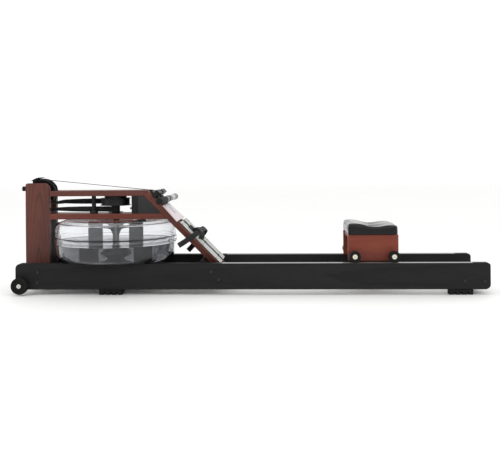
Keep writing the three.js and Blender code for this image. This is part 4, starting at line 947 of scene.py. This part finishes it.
@dataclass
class FootBoard:
    """The two foot plates in their layers, and the straps over them."""

    start: float = 0.206
    outer: float = 0.118
    gap_half: float = 0.016
    wood: Pair = (0.0003, 0.0050)
    tray: Pair = (0.0051, 0.0090)
    rubber: Pair = (0.0091, 0.0103)
    layer_edge: float = 0.0006
    rim: float = 0.0028
    rib_pitch: float = 0.006
    rib_height: float = 0.0007
    rib_shares: tuple[float, ...] = (0.0, 0.18, 0.5, 0.68)
    strap: Strap = Strap(0.024, 0.0026)
    buckle_place: int = 5
    buckle_half: float = 0.017
    buckle_lifts: Pair = (-0.004, 0.005)
    buckle_across: Pair = (-0.014, 0.010)
    buckle_edge: float = 0.0025
    anchor_along: Pair = (0.246, 0.288)
    anchor_lifts: Pair = (0.0001, 0.0026)
    anchor_across: Pair = (0.019, 0.045)
    anchor_edge: float = 0.0008
    screw: Screw = Screw(0.0045, 0.0012, 0.002, 0.0009)
    screw_along: Triple = (0.222, 0.352, 0.438)
    screw_across: Pair = (0.030, 0.104)
    screw_sink: float = 0.0006

    def make(self) -> None:
        """Builds and dresses the plates and the straps."""
        for side, sign in SIDES.items():
            node = f"foot_plate_{side}"
            foot_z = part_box(node)[0].z
            self.layer(f"foot_wood_{side}", self.wood, foot_z, sign, "stringer_wood", node)
            self.layer(f"foot_tray_{side}", self.tray, foot_z, sign, "black_plastic")
            self.ribbed(side, sign, foot_z)
            self.screws(side, sign)
            self.foot_strap(side, sign)

    def layer(self, name: str, lifts: Pair, foot_z: float, sign: float, finish: str, *nodes: str) -> None:
        """One flat layer of a plate, between two lifts, with a level lower end."""
        low, high = lifts
        corners = [
            (self.start, low), (self.start, high), (SLOPE.at_height(high, foot_z), high),
            (SLOPE.at_height(low, foot_z), low),
        ]
        piece = slab(name, SLOPE.outline(corners), sign * self.gap_half, sign * self.outer)
        ease(piece, self.layer_edge, 2)
        dress(piece, finish, "frame", *nodes)

    def ribbed(self, side: str, sign: float, foot_z: float) -> None:
        """The grey tread: a profile of lift over distance, with a low rib at every pitch, carried across."""
        bottom, top = self.rubber
        start, end = self.start + self.rim, SLOPE.at_height(top, foot_z) - self.rim
        count = int((end - start - 2 * self.rib_pitch) / self.rib_pitch)
        places = start + self.rib_pitch * (1 + np.arange(count))
        shoulder = np.array(self.rib_shares) * self.rib_pitch
        base = top - self.rib_height
        ribs = np.stack([(places[:, None] + shoulder).ravel(), np.tile([base, top, top, base], count)], axis=-1)
        profile = [(start, bottom), (start, base), *ribs.tolist(), (end, base), (end, bottom)]
        ends = (sign * (self.gap_half + self.rim), sign * (self.outer - self.rim))
        dress(slab(f"ribbed_plate_{side}", SLOPE.outline(profile), *ends), "grey_plastic", "frame")

    def screws(self, side: str, sign: float) -> None:
        """Six small countersunk screws in each plate."""
        heads = []
        for along in self.screw_along:
            for y in self.screw_across:
                heads.append(self.screw.head(f"plate_screw_{along}_{y}", (0.0, 0.0, 0.0), Axis.Z, 1.0))
                SLOPE.lay(heads[-1], along, self.rubber[1] - self.screw_sink, sign * y)
        dress(join(f"plate_screws_{side}", heads), "black_steel", "frame")

    def foot_strap(self, side: str, sign: float) -> None:
        """The strap over one foot with its buckle, its anchor on the plate and its loose end."""
        over = STRAP_ROUTES[side]
        self.run(f"foot_webbing_{side}", over, sign, f"foot_strap_{side}")
        self.run(f"loose_end_{side}", LOOSE_ROUTES[side], sign)
        along, y, lift = over[self.buckle_place]
        lifts = tuple(lift + step for step in self.buckle_lifts)
        ends = (sign * (y + step) for step in self.buckle_across)
        buckle = SLOPE.block(f"buckle_{side}", (along - self.buckle_half, along + self.buckle_half), lifts, *ends)
        ease(buckle, self.buckle_edge, 3)
        dress(buckle, "black_plastic", "frame")
        lifts = tuple(self.rubber[1] + step for step in self.anchor_lifts)
        ends = (sign * y for y in self.anchor_across)
        anchor = SLOPE.block(f"anchor_{side}", self.anchor_along, lifts, *ends)
        ease(anchor, self.anchor_edge, 2)
        dress(anchor, "rubber", "frame", slot="webbing")

    def run(self, name: str, route: list[Triple], sign: float, *nodes: str) -> None:
        """Webbing along a route of distances down the slope, Y and lifts."""
        places = SLOPE.outline([(along, lift) for along, _, lift in route])
        points = [(x, sign * y, z) for (x, z), (_, y, _) in zip(places, route)]
        piece = self.strap.lay(name, smooth_path(points, 90), np.array([SLOPE.run, 0.0, -SLOPE.rise]))
        dress(piece, "webbing", "frame", *nodes)


@dataclass
class Drive:
    """Pulleys, straps, drum, handle and its rest."""

    strap: Strap = Strap(0.025, 0.0016)
    clear: float = 0.0003
    groove: float = 0.0006
    pulley_groove: float = 0.057
    pulley_flange: float = 0.063
    pulley_rim: float = 0.006
    pulley_half: float = 0.018
    groove_half: float = 0.014
    hub_half: float = 0.032
    hub_radius: float = 0.014
    bore: float = 0.0063
    recoil_groove: float = 0.022
    main_turn: Pair = (84.5, 278.0)
    recoil_turn: Pair = (180.0, 90.0)
    recoil_tail: Pair = (0.145, 0.25)
    main_drum: Pair = (0.065, 0.4045)
    recoil_drum: Pair = (0.020, 0.3706)
    drum_wrap_degrees: float = 60.0
    upright_before: float = 0.117
    twist_power: float = 0.72
    rise_rate: float = 2.5
    bungee_radius: float = 0.0045
    bungee_low: float = 0.032
    bungee_end: float = -0.190
    drum_height: float = 0.034
    drum_flange: float = 0.003
    clutch_radius: float = 0.051
    clutch_recess: Triple = (0.030, 0.028, 0.003)
    shaft_bore: float = 0.0083
    handle_along: float = 0.086
    handle_lift: float = 0.0289
    core_radius: float = 0.011
    core_end: float = 0.01
    grip_radius: float = 0.0148
    grip_cap: float = 0.009
    sleeve_radius: float = 0.0132
    band_radius: float = 0.014
    over_core: float = 0.0001
    clamp_radius: float = 0.0148
    clamp_half: float = 0.0125
    grip_starts: Pair = (0.076, 0.1505)
    sleeve_spans: tuple[Pair, ...] = ((-0.0755, -0.014), (0.014, 0.0725), (0.073, 0.150))
    tongue_start: float = 0.031
    tongue_gap: float = 0.0015
    tongue_drop: float = 0.008
    tongue_half: float = 0.0022
    pull_end: float = 0.0313
    edges: Triple = (0.0006, 0.0008, 0.0012)

    def make(self) -> None:
        """Builds and dresses every piece of the drive."""
        fine, middling, wide = self.edges
        self.top_pulley()
        fit("recoil_pulley", fine, "black_plastic", "recoil_pulley", segments=2)
        self.main_strap()
        self.recoil()
        self.drum()
        self.handle()
        for node, edge, finish in (
            ("top_pulley_guard", wide, "black_plastic"), ("handle_rest", wide, "black_plastic"),
            ("top_pulley_axle", middling, "steel"), ("strap_guide_post", middling, "black_plastic"),
            ("shaft_bush", fine, "black_plastic"),
        ):
            fit(node, edge, finish)

    def top_pulley(self) -> None:
        """The flanged pulley between the legs, with a lightened web and a hub, turned about Y."""
        w, g, h, hub, bore = self.pulley_half, self.groove_half, self.hub_half, self.hub_radius, self.bore
        groove, flange = self.pulley_groove, self.pulley_flange
        rim, web = groove - self.pulley_rim, w - self.pulley_rim
        half = [
            (bore, h), (hub, h), (hub, web), (rim, web), (rim, w), (flange, w), (flange, g), (groove, g),
        ]
        ring = [(r, -y) for r, y in half] + half[::-1]
        wheel = turned("top_pulley_wheel", ring, 0.0007, span("top_pulley")[1], Axis.Y, 96, steps=2, loop=True)
        dress(wheel, "black_plastic", "top_pulley", "top_pulley")

    def arc(self, node: str, radius: float, turn: Pair, steps: int) -> list[Triple]:
        """Places on an arc about Y round a pulley's middle, from one angle in degrees to another."""
        middle = span(node)[1]
        angles = np.radians(np.linspace(*turn, steps))
        return [(middle.x + radius * math.cos(a), 0.0, middle.z + radius * math.sin(a)) for a in angles]

    def drum_run(self, drum: Pair, sign: float, start: Triple) -> tuple[list[Triple], list[Triple]]:
        """The run from a pulley to a drum, turning from flat to upright, and on round the drum.

        The turn grows with the run's share to the power that twist_power gives, so most of it comes early.

        Args:
            drum: the drum's radius, and the run's height there.
            sign: the side of the drum that the run meets.
            start: where the run leaves its pulley.

        Returns:
            The places, and the width direction at each.
        """
        radius, z = drum[0] + self.clear + self.strap.thickness / 2, drum[1]
        drum_x = span("strap_drum")[1].x
        lean = math.asin(radius / (drum_x - start[0]))
        upright_x = drum_x - self.upright_before
        share = (upright_x - start[0]) / (drum_x - start[0])
        places, across = [], []
        for t in np.linspace(0.0, 1.0, 24)[1:]:
            turn = t**self.twist_power * math.pi / 2
            rise = start[2] + (z - start[2]) * min(1.0, t * self.rise_rate)
            places.append((start[0] + (upright_x - start[0]) * t, sign * radius * share * t, rise))
            across.append((0.0, math.cos(turn), -math.sin(turn)))
        for t in np.linspace(0.0, 1.0, 16):
            angle = math.radians(self.drum_wrap_degrees) * t - lean
            places.append((drum_x + radius * math.sin(angle), sign * radius * math.cos(angle), z))
            across.append((0.0, 0.0, -1.0))
        return places, across

    def main_strap(self) -> None:
        """The main strap round the top pulley to the drum, and the pull strap that goes on to the handle."""
        radius = self.pulley_groove + self.groove + self.strap.thickness / 2
        wrap = self.arc("top_pulley", radius, self.main_turn, 40)
        run, across = self.drum_run(self.main_drum, 1.0, wrap[-1])
        sides = np.array([(0.0, 1.0, 0.0)] * len(wrap) + across)
        dress(self.strap.lay("main_webbing", np.array(wrap + run), sides), "webbing", "frame", "main_strap")
        self.pull(wrap[0])

    def pull(self, start: Triple) -> None:
        """The strap to the handle, from the top pulley over the deck corner and down the slope."""
        corner_x, top_z = SLOPE.corner_x, SLOPE.corner_z
        end = SLOPE.point(self.handle_along - self.pull_end, self.handle_lift - self.tongue_drop)
        bends = [
            (start[0] + 0.0003, start[2]), (corner_x - 0.012, top_z + 0.0014), (corner_x, top_z + 0.0011),
            SLOPE.point(0.026, 0.009), end,
        ]
        marks = rounded(bends, [0.0, 0.03, 0.014, 0.02, 0.0], steps=10, closed=False)
        flat = smooth_path([(x, 0.0, z) for x, z in marks], 260)
        piece = self.strap.lay("pull_webbing", flat, np.array([0.0, 1.0, 0.0]))
        piece.data.materials.append(MATERIALS["webbing"])
        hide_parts("pull_strap")
        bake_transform(piece)
        LOG.info("%s: blends from frame to handle", piece.name)

    def recoil(self) -> None:
        """The recoil strap, from its drum over the low pulley and down, with the bungee below it."""
        wrap = self.arc("recoil_pulley", self.recoil_groove + self.groove + self.strap.thickness / 2,
                        self.recoil_turn, 20)
        run, across = self.drum_run(self.recoil_drum, -1.0, wrap[-1])
        x, low = wrap[0][0], self.bungee_low
        path = np.array([(x, 0.0, z) for z in self.recoil_tail] + wrap + run)
        sides = np.array([(0.0, 1.0, 0.0)] * (len(wrap) + 2) + across)
        dress(self.strap.lay("recoil_webbing", path, sides), "webbing", "frame", "recoil_strap")
        route = [(x, 0.0, 0.150), (x, 0.0, 0.1), (x, 0.0, 0.060), (x + 0.007, 0.0, 0.039), (x + 0.024, 0.0, low),
                 (-0.8, 0.0, low), (-0.5, 0.0, low), (self.bungee_end, 0.0, low)]
        angle = np.linspace(0.0, 2 * math.pi, 16, endpoint=False)
        round_section = self.bungee_radius * np.stack([np.cos(angle), np.sin(angle)], axis=-1)
        bungee = sweep_along("bungee", smooth_path(route, 120), np.array([0.0, 1.0, 0.0]), round_section)
        dress(bungee, "rubber", "frame", slot="webbing")

    def drum(self) -> None:
        """The strap drum with its clutch hub, and the recoil drum below it."""
        low, middle, high = span("strap_drum")
        z0, z1, lip, core = low.z, low.z + self.drum_height, (high.x - low.x) / 2, self.main_drum[0]
        edge, hub, bore = self.drum_flange, self.clutch_radius, self.shaft_bore
        outer, inner, sunk = self.clutch_recess
        ring = [
            (bore, z0), (lip, z0), (lip, z0 + edge), (core, z0 + edge), (core, z1 - edge), (lip, z1 - edge),
            (lip, z1), (hub, z1), (hub, high.z), (outer, high.z), (inner, high.z - sunk), (bore, high.z - sunk),
        ]
        piece = turned("drum_spool", ring, 0.0008, (middle.x, 0.0, 0.0), Axis.Z, 96, steps=3, loop=True)
        dress(piece, "black_plastic", "drum", "strap_drum")
        fit("recoil_drum", self.edges[0], "black_plastic", "drum", segments=2)

    def handle(self) -> None:
        """The bar in its black, grey and light sleeves, and the webbing loop round its middle."""
        low, middle, high = span("handle_bar")
        half, core = (high.y - low.y) / 2, self.core_radius
        end, inside, cap = half - self.core_end, core + self.over_core, half - self.grip_cap
        bar = [(0.0, -end), (core, -end), (core, end), (0.0, end)]
        dress(turned("bar_core", bar, 0.0, middle, Axis.Y, 48), "grip", "handle", "handle_bar")
        r, radii = self.grip_radius, [0.0, 0.006, 0.0006, 0.0, 0.0, 0.0]
        # Both grips are one dark foam: the near grip's near black is painted shade and the far grip's grey is painted
        # light.
        for (side, sign), start, finish in zip(SIDES.items(), self.grip_starts, ("grip_dark_shaded", "grip")):
            ring = [(0.0, half), (r, half), (r, start), (inside, start), (inside, cap), (0.0, cap)]
            dress(turned(f"grip_{side}", ring, radii, middle, Axis.Y, 64, steps=8, way=sign), finish, "handle")
        outer, radii = (self.sleeve_radius, self.sleeve_radius, self.band_radius), [0.0, 0.0008, 0.0008, 0.0]
        sleeves = zip(("near", "far", "band"), self.sleeve_spans, outer, ("grip", "grip", "band"))
        for name, (start, end), r, finish in sleeves:
            ring = [(inside, start), (r, start), (r, end), (inside, end)]
            dress(turned(f"sleeve_{name}", ring, radii, middle, Axis.Y, 64, steps=4, loop=True), finish, "handle")
        self.clamp(middle)

    def clamp(self, middle: Vector) -> None:
        """The webbing loop sewn round the bar, and its doubled end that the pull strap runs into."""
        r, w, inside = self.clamp_radius, self.clamp_half, self.core_radius + 2 * self.over_core
        ring = [(inside, -w), (r, -w), (r, w), (inside, w)]
        loop = turned("strap_loop", ring, 0.001, middle, Axis.Y, 48, steps=3, loop=True)
        along = (self.handle_along - self.tongue_start, self.handle_along - self.core_radius - self.tongue_gap)
        lift = self.handle_lift - self.tongue_drop
        tongue = SLOPE.block("strap_tongue", along, (lift - self.tongue_half, lift + self.tongue_half), -w, w)
        dress(join("strap_loop_and_tongue", [loop, tongue]), "black_plastic", "handle", "strap_clamp")


@dataclass
class Tank:
    """The clear tank, its water and the paddle in it."""

    wall: float = 0.005
    bottom_inset: float = 0.038
    heel_inset: float = 0.021
    heel_height: float = 0.008
    waist_inset: float = 0.010
    waist_height: float = 0.026
    flange_reach: float = 0.004
    flange_height: float = 0.011
    flange_foot: float = 0.013
    rim_inset: float = 0.013
    rim_height: float = 0.016
    wall_height: float = 0.150
    shoulder: Pair = (0.0155, 0.0125)
    inner_shoulder: Pair = (0.020, 0.018)
    crown_height: float = 0.185
    crown_inset: float = 0.056
    inner_step: float = 0.002
    neck_radius: float = 0.058
    neck_bore: float = 0.042
    water_depth: float = 0.081
    water_clear: float = 0.0004
    water_inset: float = 0.0134
    plug_edge: float = 0.001
    blades: int = 4
    blade_turn: float = math.radians(13.0)
    blade_radii: Pair = (0.060, 0.126)
    blade_heights: Pair = (0.151, 0.312)
    blade_half: float = 0.0025

    def __post_init__(self) -> None:
        """Reads the tank's radius, floor, seam, top and axis from the frame."""
        low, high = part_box("tank_lower")
        self.radius, self.floor, self.seam = (high.y - low.y) / 2, low.z, high.z
        self.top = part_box("tank_upper")[1].z
        self.axis = (span("strap_drum")[1].x, 0.0, 0.0)

    def make(self) -> None:
        """Builds and dresses every piece of the tank."""
        self.lower_shell()
        self.upper_shell()
        self.water()
        self.paddle()
        fit("filler_plug", self.plug_edge, "black_plastic")

    def insets(self, step: float) -> list[float]:
        """The radii of the bowl's flat base, heel and waist, drawn in by a step."""
        return [self.radius - inset - step for inset in (self.bottom_inset, self.heel_inset, self.waist_inset)]

    def lower_shell(self) -> None:
        """The bowl: a flat base, a rounded heel and a wall that leans out to the rim."""
        w, radius, floor, seam, rim = self.wall, self.radius, self.floor, self.seam, self.radius - self.rim_inset
        heel_z, waist_z = floor + self.heel_height, floor + self.waist_height
        (bottom, heel, waist), (flat, turn, lean) = self.insets(0.0), self.insets(w)
        corners = [
            (0.0, floor), (bottom, floor), (heel, heel_z), (waist, waist_z),
            (radius - self.flange_reach, seam - self.flange_foot), (radius, seam - self.flange_height),
            (radius, seam), (rim, seam), (rim, seam - self.rim_height), (lean, waist_z + w / 2), (turn, heel_z + w),
            (flat, floor + w), (0.0, floor + w),
        ]
        radii = [0.0, 0.03, 0.03, 0.06, 0.004, 0.001, 0.0008, 0.001, 0.004, 0.06, 0.03, 0.03, 0.0]
        dress(turned("tank_bowl", corners, radii, self.axis, Axis.Z, 160, steps=8), "clear", "frame", "tank_lower")

    def upper_shell(self) -> None:
        """The upper shell: an upright wall, a round shoulder, a flat top and a neck under the deck."""
        w, radius, step, neck, bore = self.wall, self.radius, self.inner_step, self.neck_radius, self.neck_bore
        seam, crown, wall_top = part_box("tank_upper")[0].z, self.floor + self.crown_height, self.floor + self.wall_height
        outer, rim = radius - self.flange_reach, radius - self.rim_inset
        (reach, drop), (inner_reach, inner_drop) = self.shoulder, self.inner_shoulder
        ring = [
            (radius, seam), (radius, seam + self.flange_height), (outer, seam + self.flange_foot), (outer, wall_top),
            (radius - reach, crown - drop), (radius - self.crown_inset, crown), (neck, crown), (neck, self.top),
            (bore, self.top), (bore, crown - w), (radius - self.crown_inset - step, crown - w),
            (radius - inner_reach, crown - inner_drop), (outer - w, wall_top - step),
            (outer - w, seam + self.rim_height), (rim, seam + self.flange_height), (rim, seam),
        ]
        radii = [
            0.0008, 0.001, 0.004, 0.03, 0.025, 0.05, 0.004, 0.001, 0.001, 0.002, 0.05, 0.02, 0.03, 0.004, 0.001,
            0.0008,
        ]
        dome = turned("tank_dome", ring, radii, self.axis, Axis.Z, 160, steps=8, loop=True)
        dress(dome, "clear", "frame", "tank_upper")

    def water(self) -> None:
        """The water: it fills the bowl's inside to its level."""
        w, foot, level = self.wall, self.floor + self.wall + self.water_clear, self.floor + self.water_depth
        bottom, heel, waist = self.insets(w + self.water_clear)
        corners = [
            (0.0, foot), (bottom, foot), (heel, foot + self.heel_height),
            (waist, self.floor + self.waist_height + w / 2), (self.radius - self.water_inset, level), (0.0, level),
        ]
        radii = [0.0, 0.03, 0.03, 0.05, 0.0006, 0.0]
        dress(turned("water", corners, radii, self.axis, Axis.Z, 160, steps=8), "water", "frame")

    def paddle(self) -> None:
        """The paddle: a shaft with a funnel and a foot cone, and blades with rounded corners."""
        low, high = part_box("paddle")
        (inner, outer), (bottom, top) = self.blade_radii, self.blade_heights
        stem = [
            (0.0, low.z), (0.020, low.z), (0.058, 0.178), (0.015, 0.222), (0.015, 0.253), (0.022, 0.276),
            (0.044, 0.295), (0.089, 0.307), (0.089, top), (0.080, top), (0.040, 0.300), (0.017, 0.284),
            (0.015, 0.320), (0.008, 0.325), (0.008, high.z), (0.0, high.z),
        ]
        radii = [0.0, 0.004, 0.006, 0.01, 0.02, 0.03, 0.03, 0.001, 0.001, 0.002, 0.03, 0.004, 0.001, 0.0, 0.0005, 0.0]
        parts = [turned("paddle_stem", stem, radii, self.axis, Axis.Z, 64)]
        outline = rounded([(inner, bottom), (outer, bottom), (outer, top), (inner, top)],
                          [0.004, 0.004, 0.014, 0.004], steps=6)
        parts += [self.blade(k, outline) for k in range(self.blades)]
        dress(join("paddle_rotor", parts), "paddle", "paddle", "paddle")

    def blade(self, index: int, outline: np.ndarray) -> Piece:
        """One blade, a thin slab of an outline in radius and height, turned about the tank's axis."""
        turn = self.blade_turn + index * math.pi / 2
        cos, sin, (r, z) = math.cos(turn), math.sin(turn), outline.T
        rings = [
            np.stack([r * cos - y * sin + self.axis[0], r * sin + y * cos, z], axis=-1)
            for y in (-self.blade_half, self.blade_half)
        ]
        return skin(f"blade_{index}", np.array(rings))


@dataclass
class Seat:
    """The sliding seat: panels, board, pad, axles and wheels."""

    panel_edge: float = 0.0015
    axle_edge: float = 0.0012
    wheel_radius: float = 0.0252
    wheel_lip: float = 0.006
    lip_slope: float = 0.0015
    hub_drop: float = 0.001
    hub_radius: float = 0.0109
    hub_clear: float = 0.0002
    hub_bore: float = 0.0065
    screw: Screw = Screw(0.0046, 0.0022, 0.0022, 0.0012)
    front_height: float = 0.308
    rear_height: float = 0.299
    dip_share: float = 0.52
    dip_width: float = 0.048
    dip_depth: float = 0.0105
    hollow_y: float = 0.062
    hollow_width: float = 0.046
    hollow_depth: float = 0.007
    pad_corner: float = 0.030
    pad_least_corner: float = 0.006
    pad_shrink: float = 0.0015
    pad_insets: tuple[float, ...] = (
        0.0050, 0.0015, 0.0, 0.0006, 0.0018, 0.0026, 0.0042, 0.0066, 0.0100, 0.018, 0.034, 0.054, 0.074, 0.094,
    )
    pad_rises: tuple[float, ...] = (0.0, 0.02, 0.08, 0.40, 0.78, 0.88, 0.945, 0.98, 1.0, 1.0, 1.0, 1.0, 1.0, 1.0)
    pad_cap: float = 0.0022
    pad_voxel: float = 0.004
    pad_steps: int = 20

    def make(self) -> None:
        """Builds and dresses every piece of the seat."""
        for node in ("seat_side_near", "seat_side_far", "seat_base"):
            fit(node, self.panel_edge, "seat_wood", "seat")
        for end in ("front", "rear"):
            node = f"seat_axle_{end}"
            fit(node, self.axle_edge, "hub", "seat")
            _, middle, high = span(node)
            heads = []
            for side, sign in SIDES.items():
                self.wheel(end, side, sign)
                heads.append(self.screw.head(f"axle_screw_{side}", (middle.x, sign * high.y, middle.z), Axis.Y, sign))
            dress(join(f"axle_screws_{end}", heads), "steel", "seat", slot="hub")
        self.pad()

    def wheel(self, end: str, side: str, sign: float) -> None:
        """A seat wheel with a rounded tyre and a cream hub proud of its face."""
        node = f"seat_wheel_{end}_{side}"
        low, middle, high = span(node)
        half, r, hub, drop = (high.y - low.y) / 2, self.wheel_radius, self.hub_radius, self.hub_drop
        lip, cap, bore = r - self.wheel_lip, hub - self.hub_clear, self.hub_bore
        ring = [
            (hub, -half), (r, -half), (r, half), (lip, half), (lip - self.lip_slope, half - drop), (hub, half - drop),
        ]
        radii = [0.0005, 0.005, 0.005, 0.0005, 0.0005, 0.0005]
        tyre = turned(f"seat_tyre_{end}_{side}", ring, radii, middle, Axis.Y, 72, steps=6, loop=True, way=sign)
        dress(tyre, "rubber", node, node)
        ring = [(bore, -half), (cap, -half), (cap, half + drop), (bore, half + drop)]
        radii = [0.0, 0.0005, 0.002, 0.0008]
        disc = turned(f"seat_hub_{end}_{side}", ring, radii, middle, Axis.Y, 48, steps=4, loop=True, way=sign)
        dress(disc, "hub", node)

    def crown(self, x: np.ndarray, y: np.ndarray, low: Vector, high: Vector) -> np.ndarray:
        """Height of the pad's top: two plateaus with a dip between them and two shallow hollows."""
        share = (x - low.x) / (high.x - low.x)
        eased = np.clip(share, 0, 1) ** 2 * (3 - 2 * np.clip(share, 0, 1))
        line = self.front_height + (self.rear_height - self.front_height) * eased
        from_dip = (share - self.dip_share) * (high.x - low.x)
        sag = np.exp(-((from_dip / self.dip_width) ** 2)) * self.dip_depth
        away = np.hypot(from_dip, np.abs(y) - self.hollow_y)
        return line - sag - np.exp(-((away / self.hollow_width) ** 2)) * self.hollow_depth

    def ring(self, inset: float, low: Vector, high: Vector, count: int) -> np.ndarray:
        """Points round the pad's plan outline, drawn in by an inset and spaced evenly."""
        hx, hy = (high.x - low.x) / 2 - inset, (high.y - low.y) / 2 - inset
        radius = max(self.pad_corner - inset, self.pad_least_corner)
        loop = rounded([(hx, -hy), (hx, hy), (-hx, hy), (-hx, -hy)], radius, steps=10)
        return evenly(np.concatenate([loop, loop[:1]]), count, endpoint=False)

    def pad(self) -> None:
        """The cushion: rings of the plan outline, lofted from its foot up the drawn-in side to its crown."""
        low, middle, high = span("seat_pad")
        foot, rings = low.z, []
        for inset, share in zip(self.pad_shrink + np.array(self.pad_insets), self.pad_rises):
            flat = self.ring(inset, low, high, 160) + np.array([middle.x, middle.y])
            top = self.crown(flat[:, 0], flat[:, 1], low, high) - self.pad_shrink
            rings.append(np.stack([flat[:, 0], flat[:, 1], foot + (top - foot) * share], axis=-1))
        piece = skin("seat_cushion", np.array(rings), 180.0)
        self.fill(piece, foot)
        dress(piece, "pad", "seat", "seat_pad")

    def fill(self, piece: Piece, foot: float) -> None:
        """Swells the pad as foam under a skin: an even remesh, a short cloth run and a cap on each move."""
        remesh = piece.modifiers.new("even", "REMESH")
        remesh.mode = "VOXEL"
        remesh.voxel_size = self.pad_voxel
        remesh.use_smooth_shade = True
        apply_modifier(piece, remesh)
        before = places_of(piece)
        cloth = piece.modifiers.new("fill", "CLOTH")
        cloth.settings.use_pressure = True
        cloth.settings.uniform_pressure_force = 4.0
        cloth.settings.effector_weights.gravity = 0.0
        cloth.settings.tension_stiffness = 40.0
        cloth.settings.bending_stiffness = 8.0
        cloth.point_cache.frame_end = self.pad_steps
        for step in range(self.pad_steps):
            bpy.context.scene.frame_set(step + 1)
        apply_modifier(piece, cloth)
        bpy.context.scene.frame_set(1)
        move = places_of(piece) - before
        length = np.maximum(np.linalg.norm(move, axis=1, keepdims=True), 1e-9)
        placed = before + move * np.minimum(1.0, self.pad_cap / length)
        placed[:, 2] = np.maximum(placed[:, 2], foot)
        piece.data.vertices.foreach_set("co", placed.ravel())
        piece.data.update()
        smooth = piece.modifiers.new("smooth", "SUBSURF")
        smooth.levels = smooth.render_levels = 1


def apply_modifier(piece: Piece, modifier: bpy.types.Modifier) -> None:
    """Puts a modifier's result into the piece's own mesh and takes the modifier off."""
    bpy.context.view_layer.update()
    shown = piece.evaluated_get(bpy.context.evaluated_depsgraph_get())
    mesh = bpy.data.meshes.new_from_object(shown)
    old, piece.data = piece.data, mesh
    piece.modifiers.remove(modifier)
    bpy.data.meshes.remove(old)


@dataclass
class Studio:
    """The camera at the photograph's place, the pale floor and the soft lights.

    The camera looks level and its frame is shifted, as the photograph's upright lines stay parallel.
    """

    eye: Triple = (0.13266, -3.21346, 0.57060)
    yaw: float = -0.04036
    roll: float = -0.00797
    lens: float = 49.980
    sensor: float = 36.0
    shift: float = -0.12048
    clip: Pair = (0.05, 60.0)
    floor_size: float = 30.0
    sky: float = 1.04

    def make(self) -> None:
        """Builds the whole set."""
        self.camera()
        self.lights()
        self.floor()

    def camera(self) -> None:
        """Sets the camera from its eye point, its yaw and roll, and the shift of its frame."""
        data = bpy.data.cameras.new("camera")
        data.lens, data.sensor_width, data.shift_y = self.lens, self.sensor, self.shift
        data.clip_start, data.clip_end = self.clip
        ahead = Vector((math.sin(self.yaw), math.cos(self.yaw), 0.0))
        right = Vector((math.cos(self.yaw), -math.sin(self.yaw), 0.0))
        up = right.cross(ahead)
        rolled_right = right * math.cos(self.roll) + up * math.sin(self.roll)
        rolled_up = up * math.cos(self.roll) - right * math.sin(self.roll)
        matrix = Matrix((rolled_right, rolled_up, -ahead)).transposed().to_4x4()
        matrix.translation = Vector(self.eye)
        camera = linked("camera", data)
        camera.matrix_world = matrix
        bpy.context.scene.camera = camera

    def lights(self) -> None:
        """Large soft lights above, in front and at one end, under a white sky."""
        world = bpy.data.worlds.new("studio")
        bpy.context.scene.world = world
        world.use_nodes = True
        Nodes(world.node_tree).feed(world.node_tree.nodes["Background"], {0: (1.0, 1.0, 1.0, 1.0), 1: self.sky})
        bpy.context.scene.view_settings.view_transform = "Standard"
        self.softbox("key", (0.0, -1.4, 3.2), (0.0, 0.0, 0.2), (4.0, 2.0), 20.0)
        self.softbox("front", (0.6, -3.6, 1.8), (0.0, 0.0, 0.2), (4.0, 1.6), 18.0)
        self.softbox("left", (-3.6, -0.8, 1.4), (0.0, 0.0, 0.3), (2.0, 2.0), 10.0)

    def softbox(self, name: str, place: Triple, aim: Triple, size: Pair, power: float) -> None:
        """An area light at a place, turned to its aim."""
        data = bpy.data.lights.new(name, "AREA")
        data.shape = "RECTANGLE"
        data.size, data.size_y = size
        data.energy = power
        light = linked(name, data)
        light.location = place
        light.rotation_euler = (Vector(aim) - Vector(place)).to_track_quat("-Z", "Y").to_euler()

    def floor(self) -> None:
        """A plain pale floor."""
        half = self.floor_size / 2
        mesh = bpy.data.meshes.new("floor")
        mesh.from_pydata([(-half, -half, 0.0), (half, -half, 0.0), (half, half, 0.0), (-half, half, 0.0)], [],
                         [(0, 1, 2, 3)])
        mesh.materials.append(PaleFloor("pale_floor", (246.0, 246.0, 245.0), (250.0, 250.0, 249.0)).build())
        linked("floor", mesh)


def main() -> None:
    """Builds the set and the sub-assemblies in order, and reports each piece."""
    logging.basicConfig(level=logging.INFO, format="%(name)s %(message)s")
    for part in (Studio(), Base(), MainFrame(), FootBoard(), Drive(), Tank(), Seat()):
        LOG.info("making %s", type(part).__name__)
        part.make()


if __name__ == "__main__":
    main()
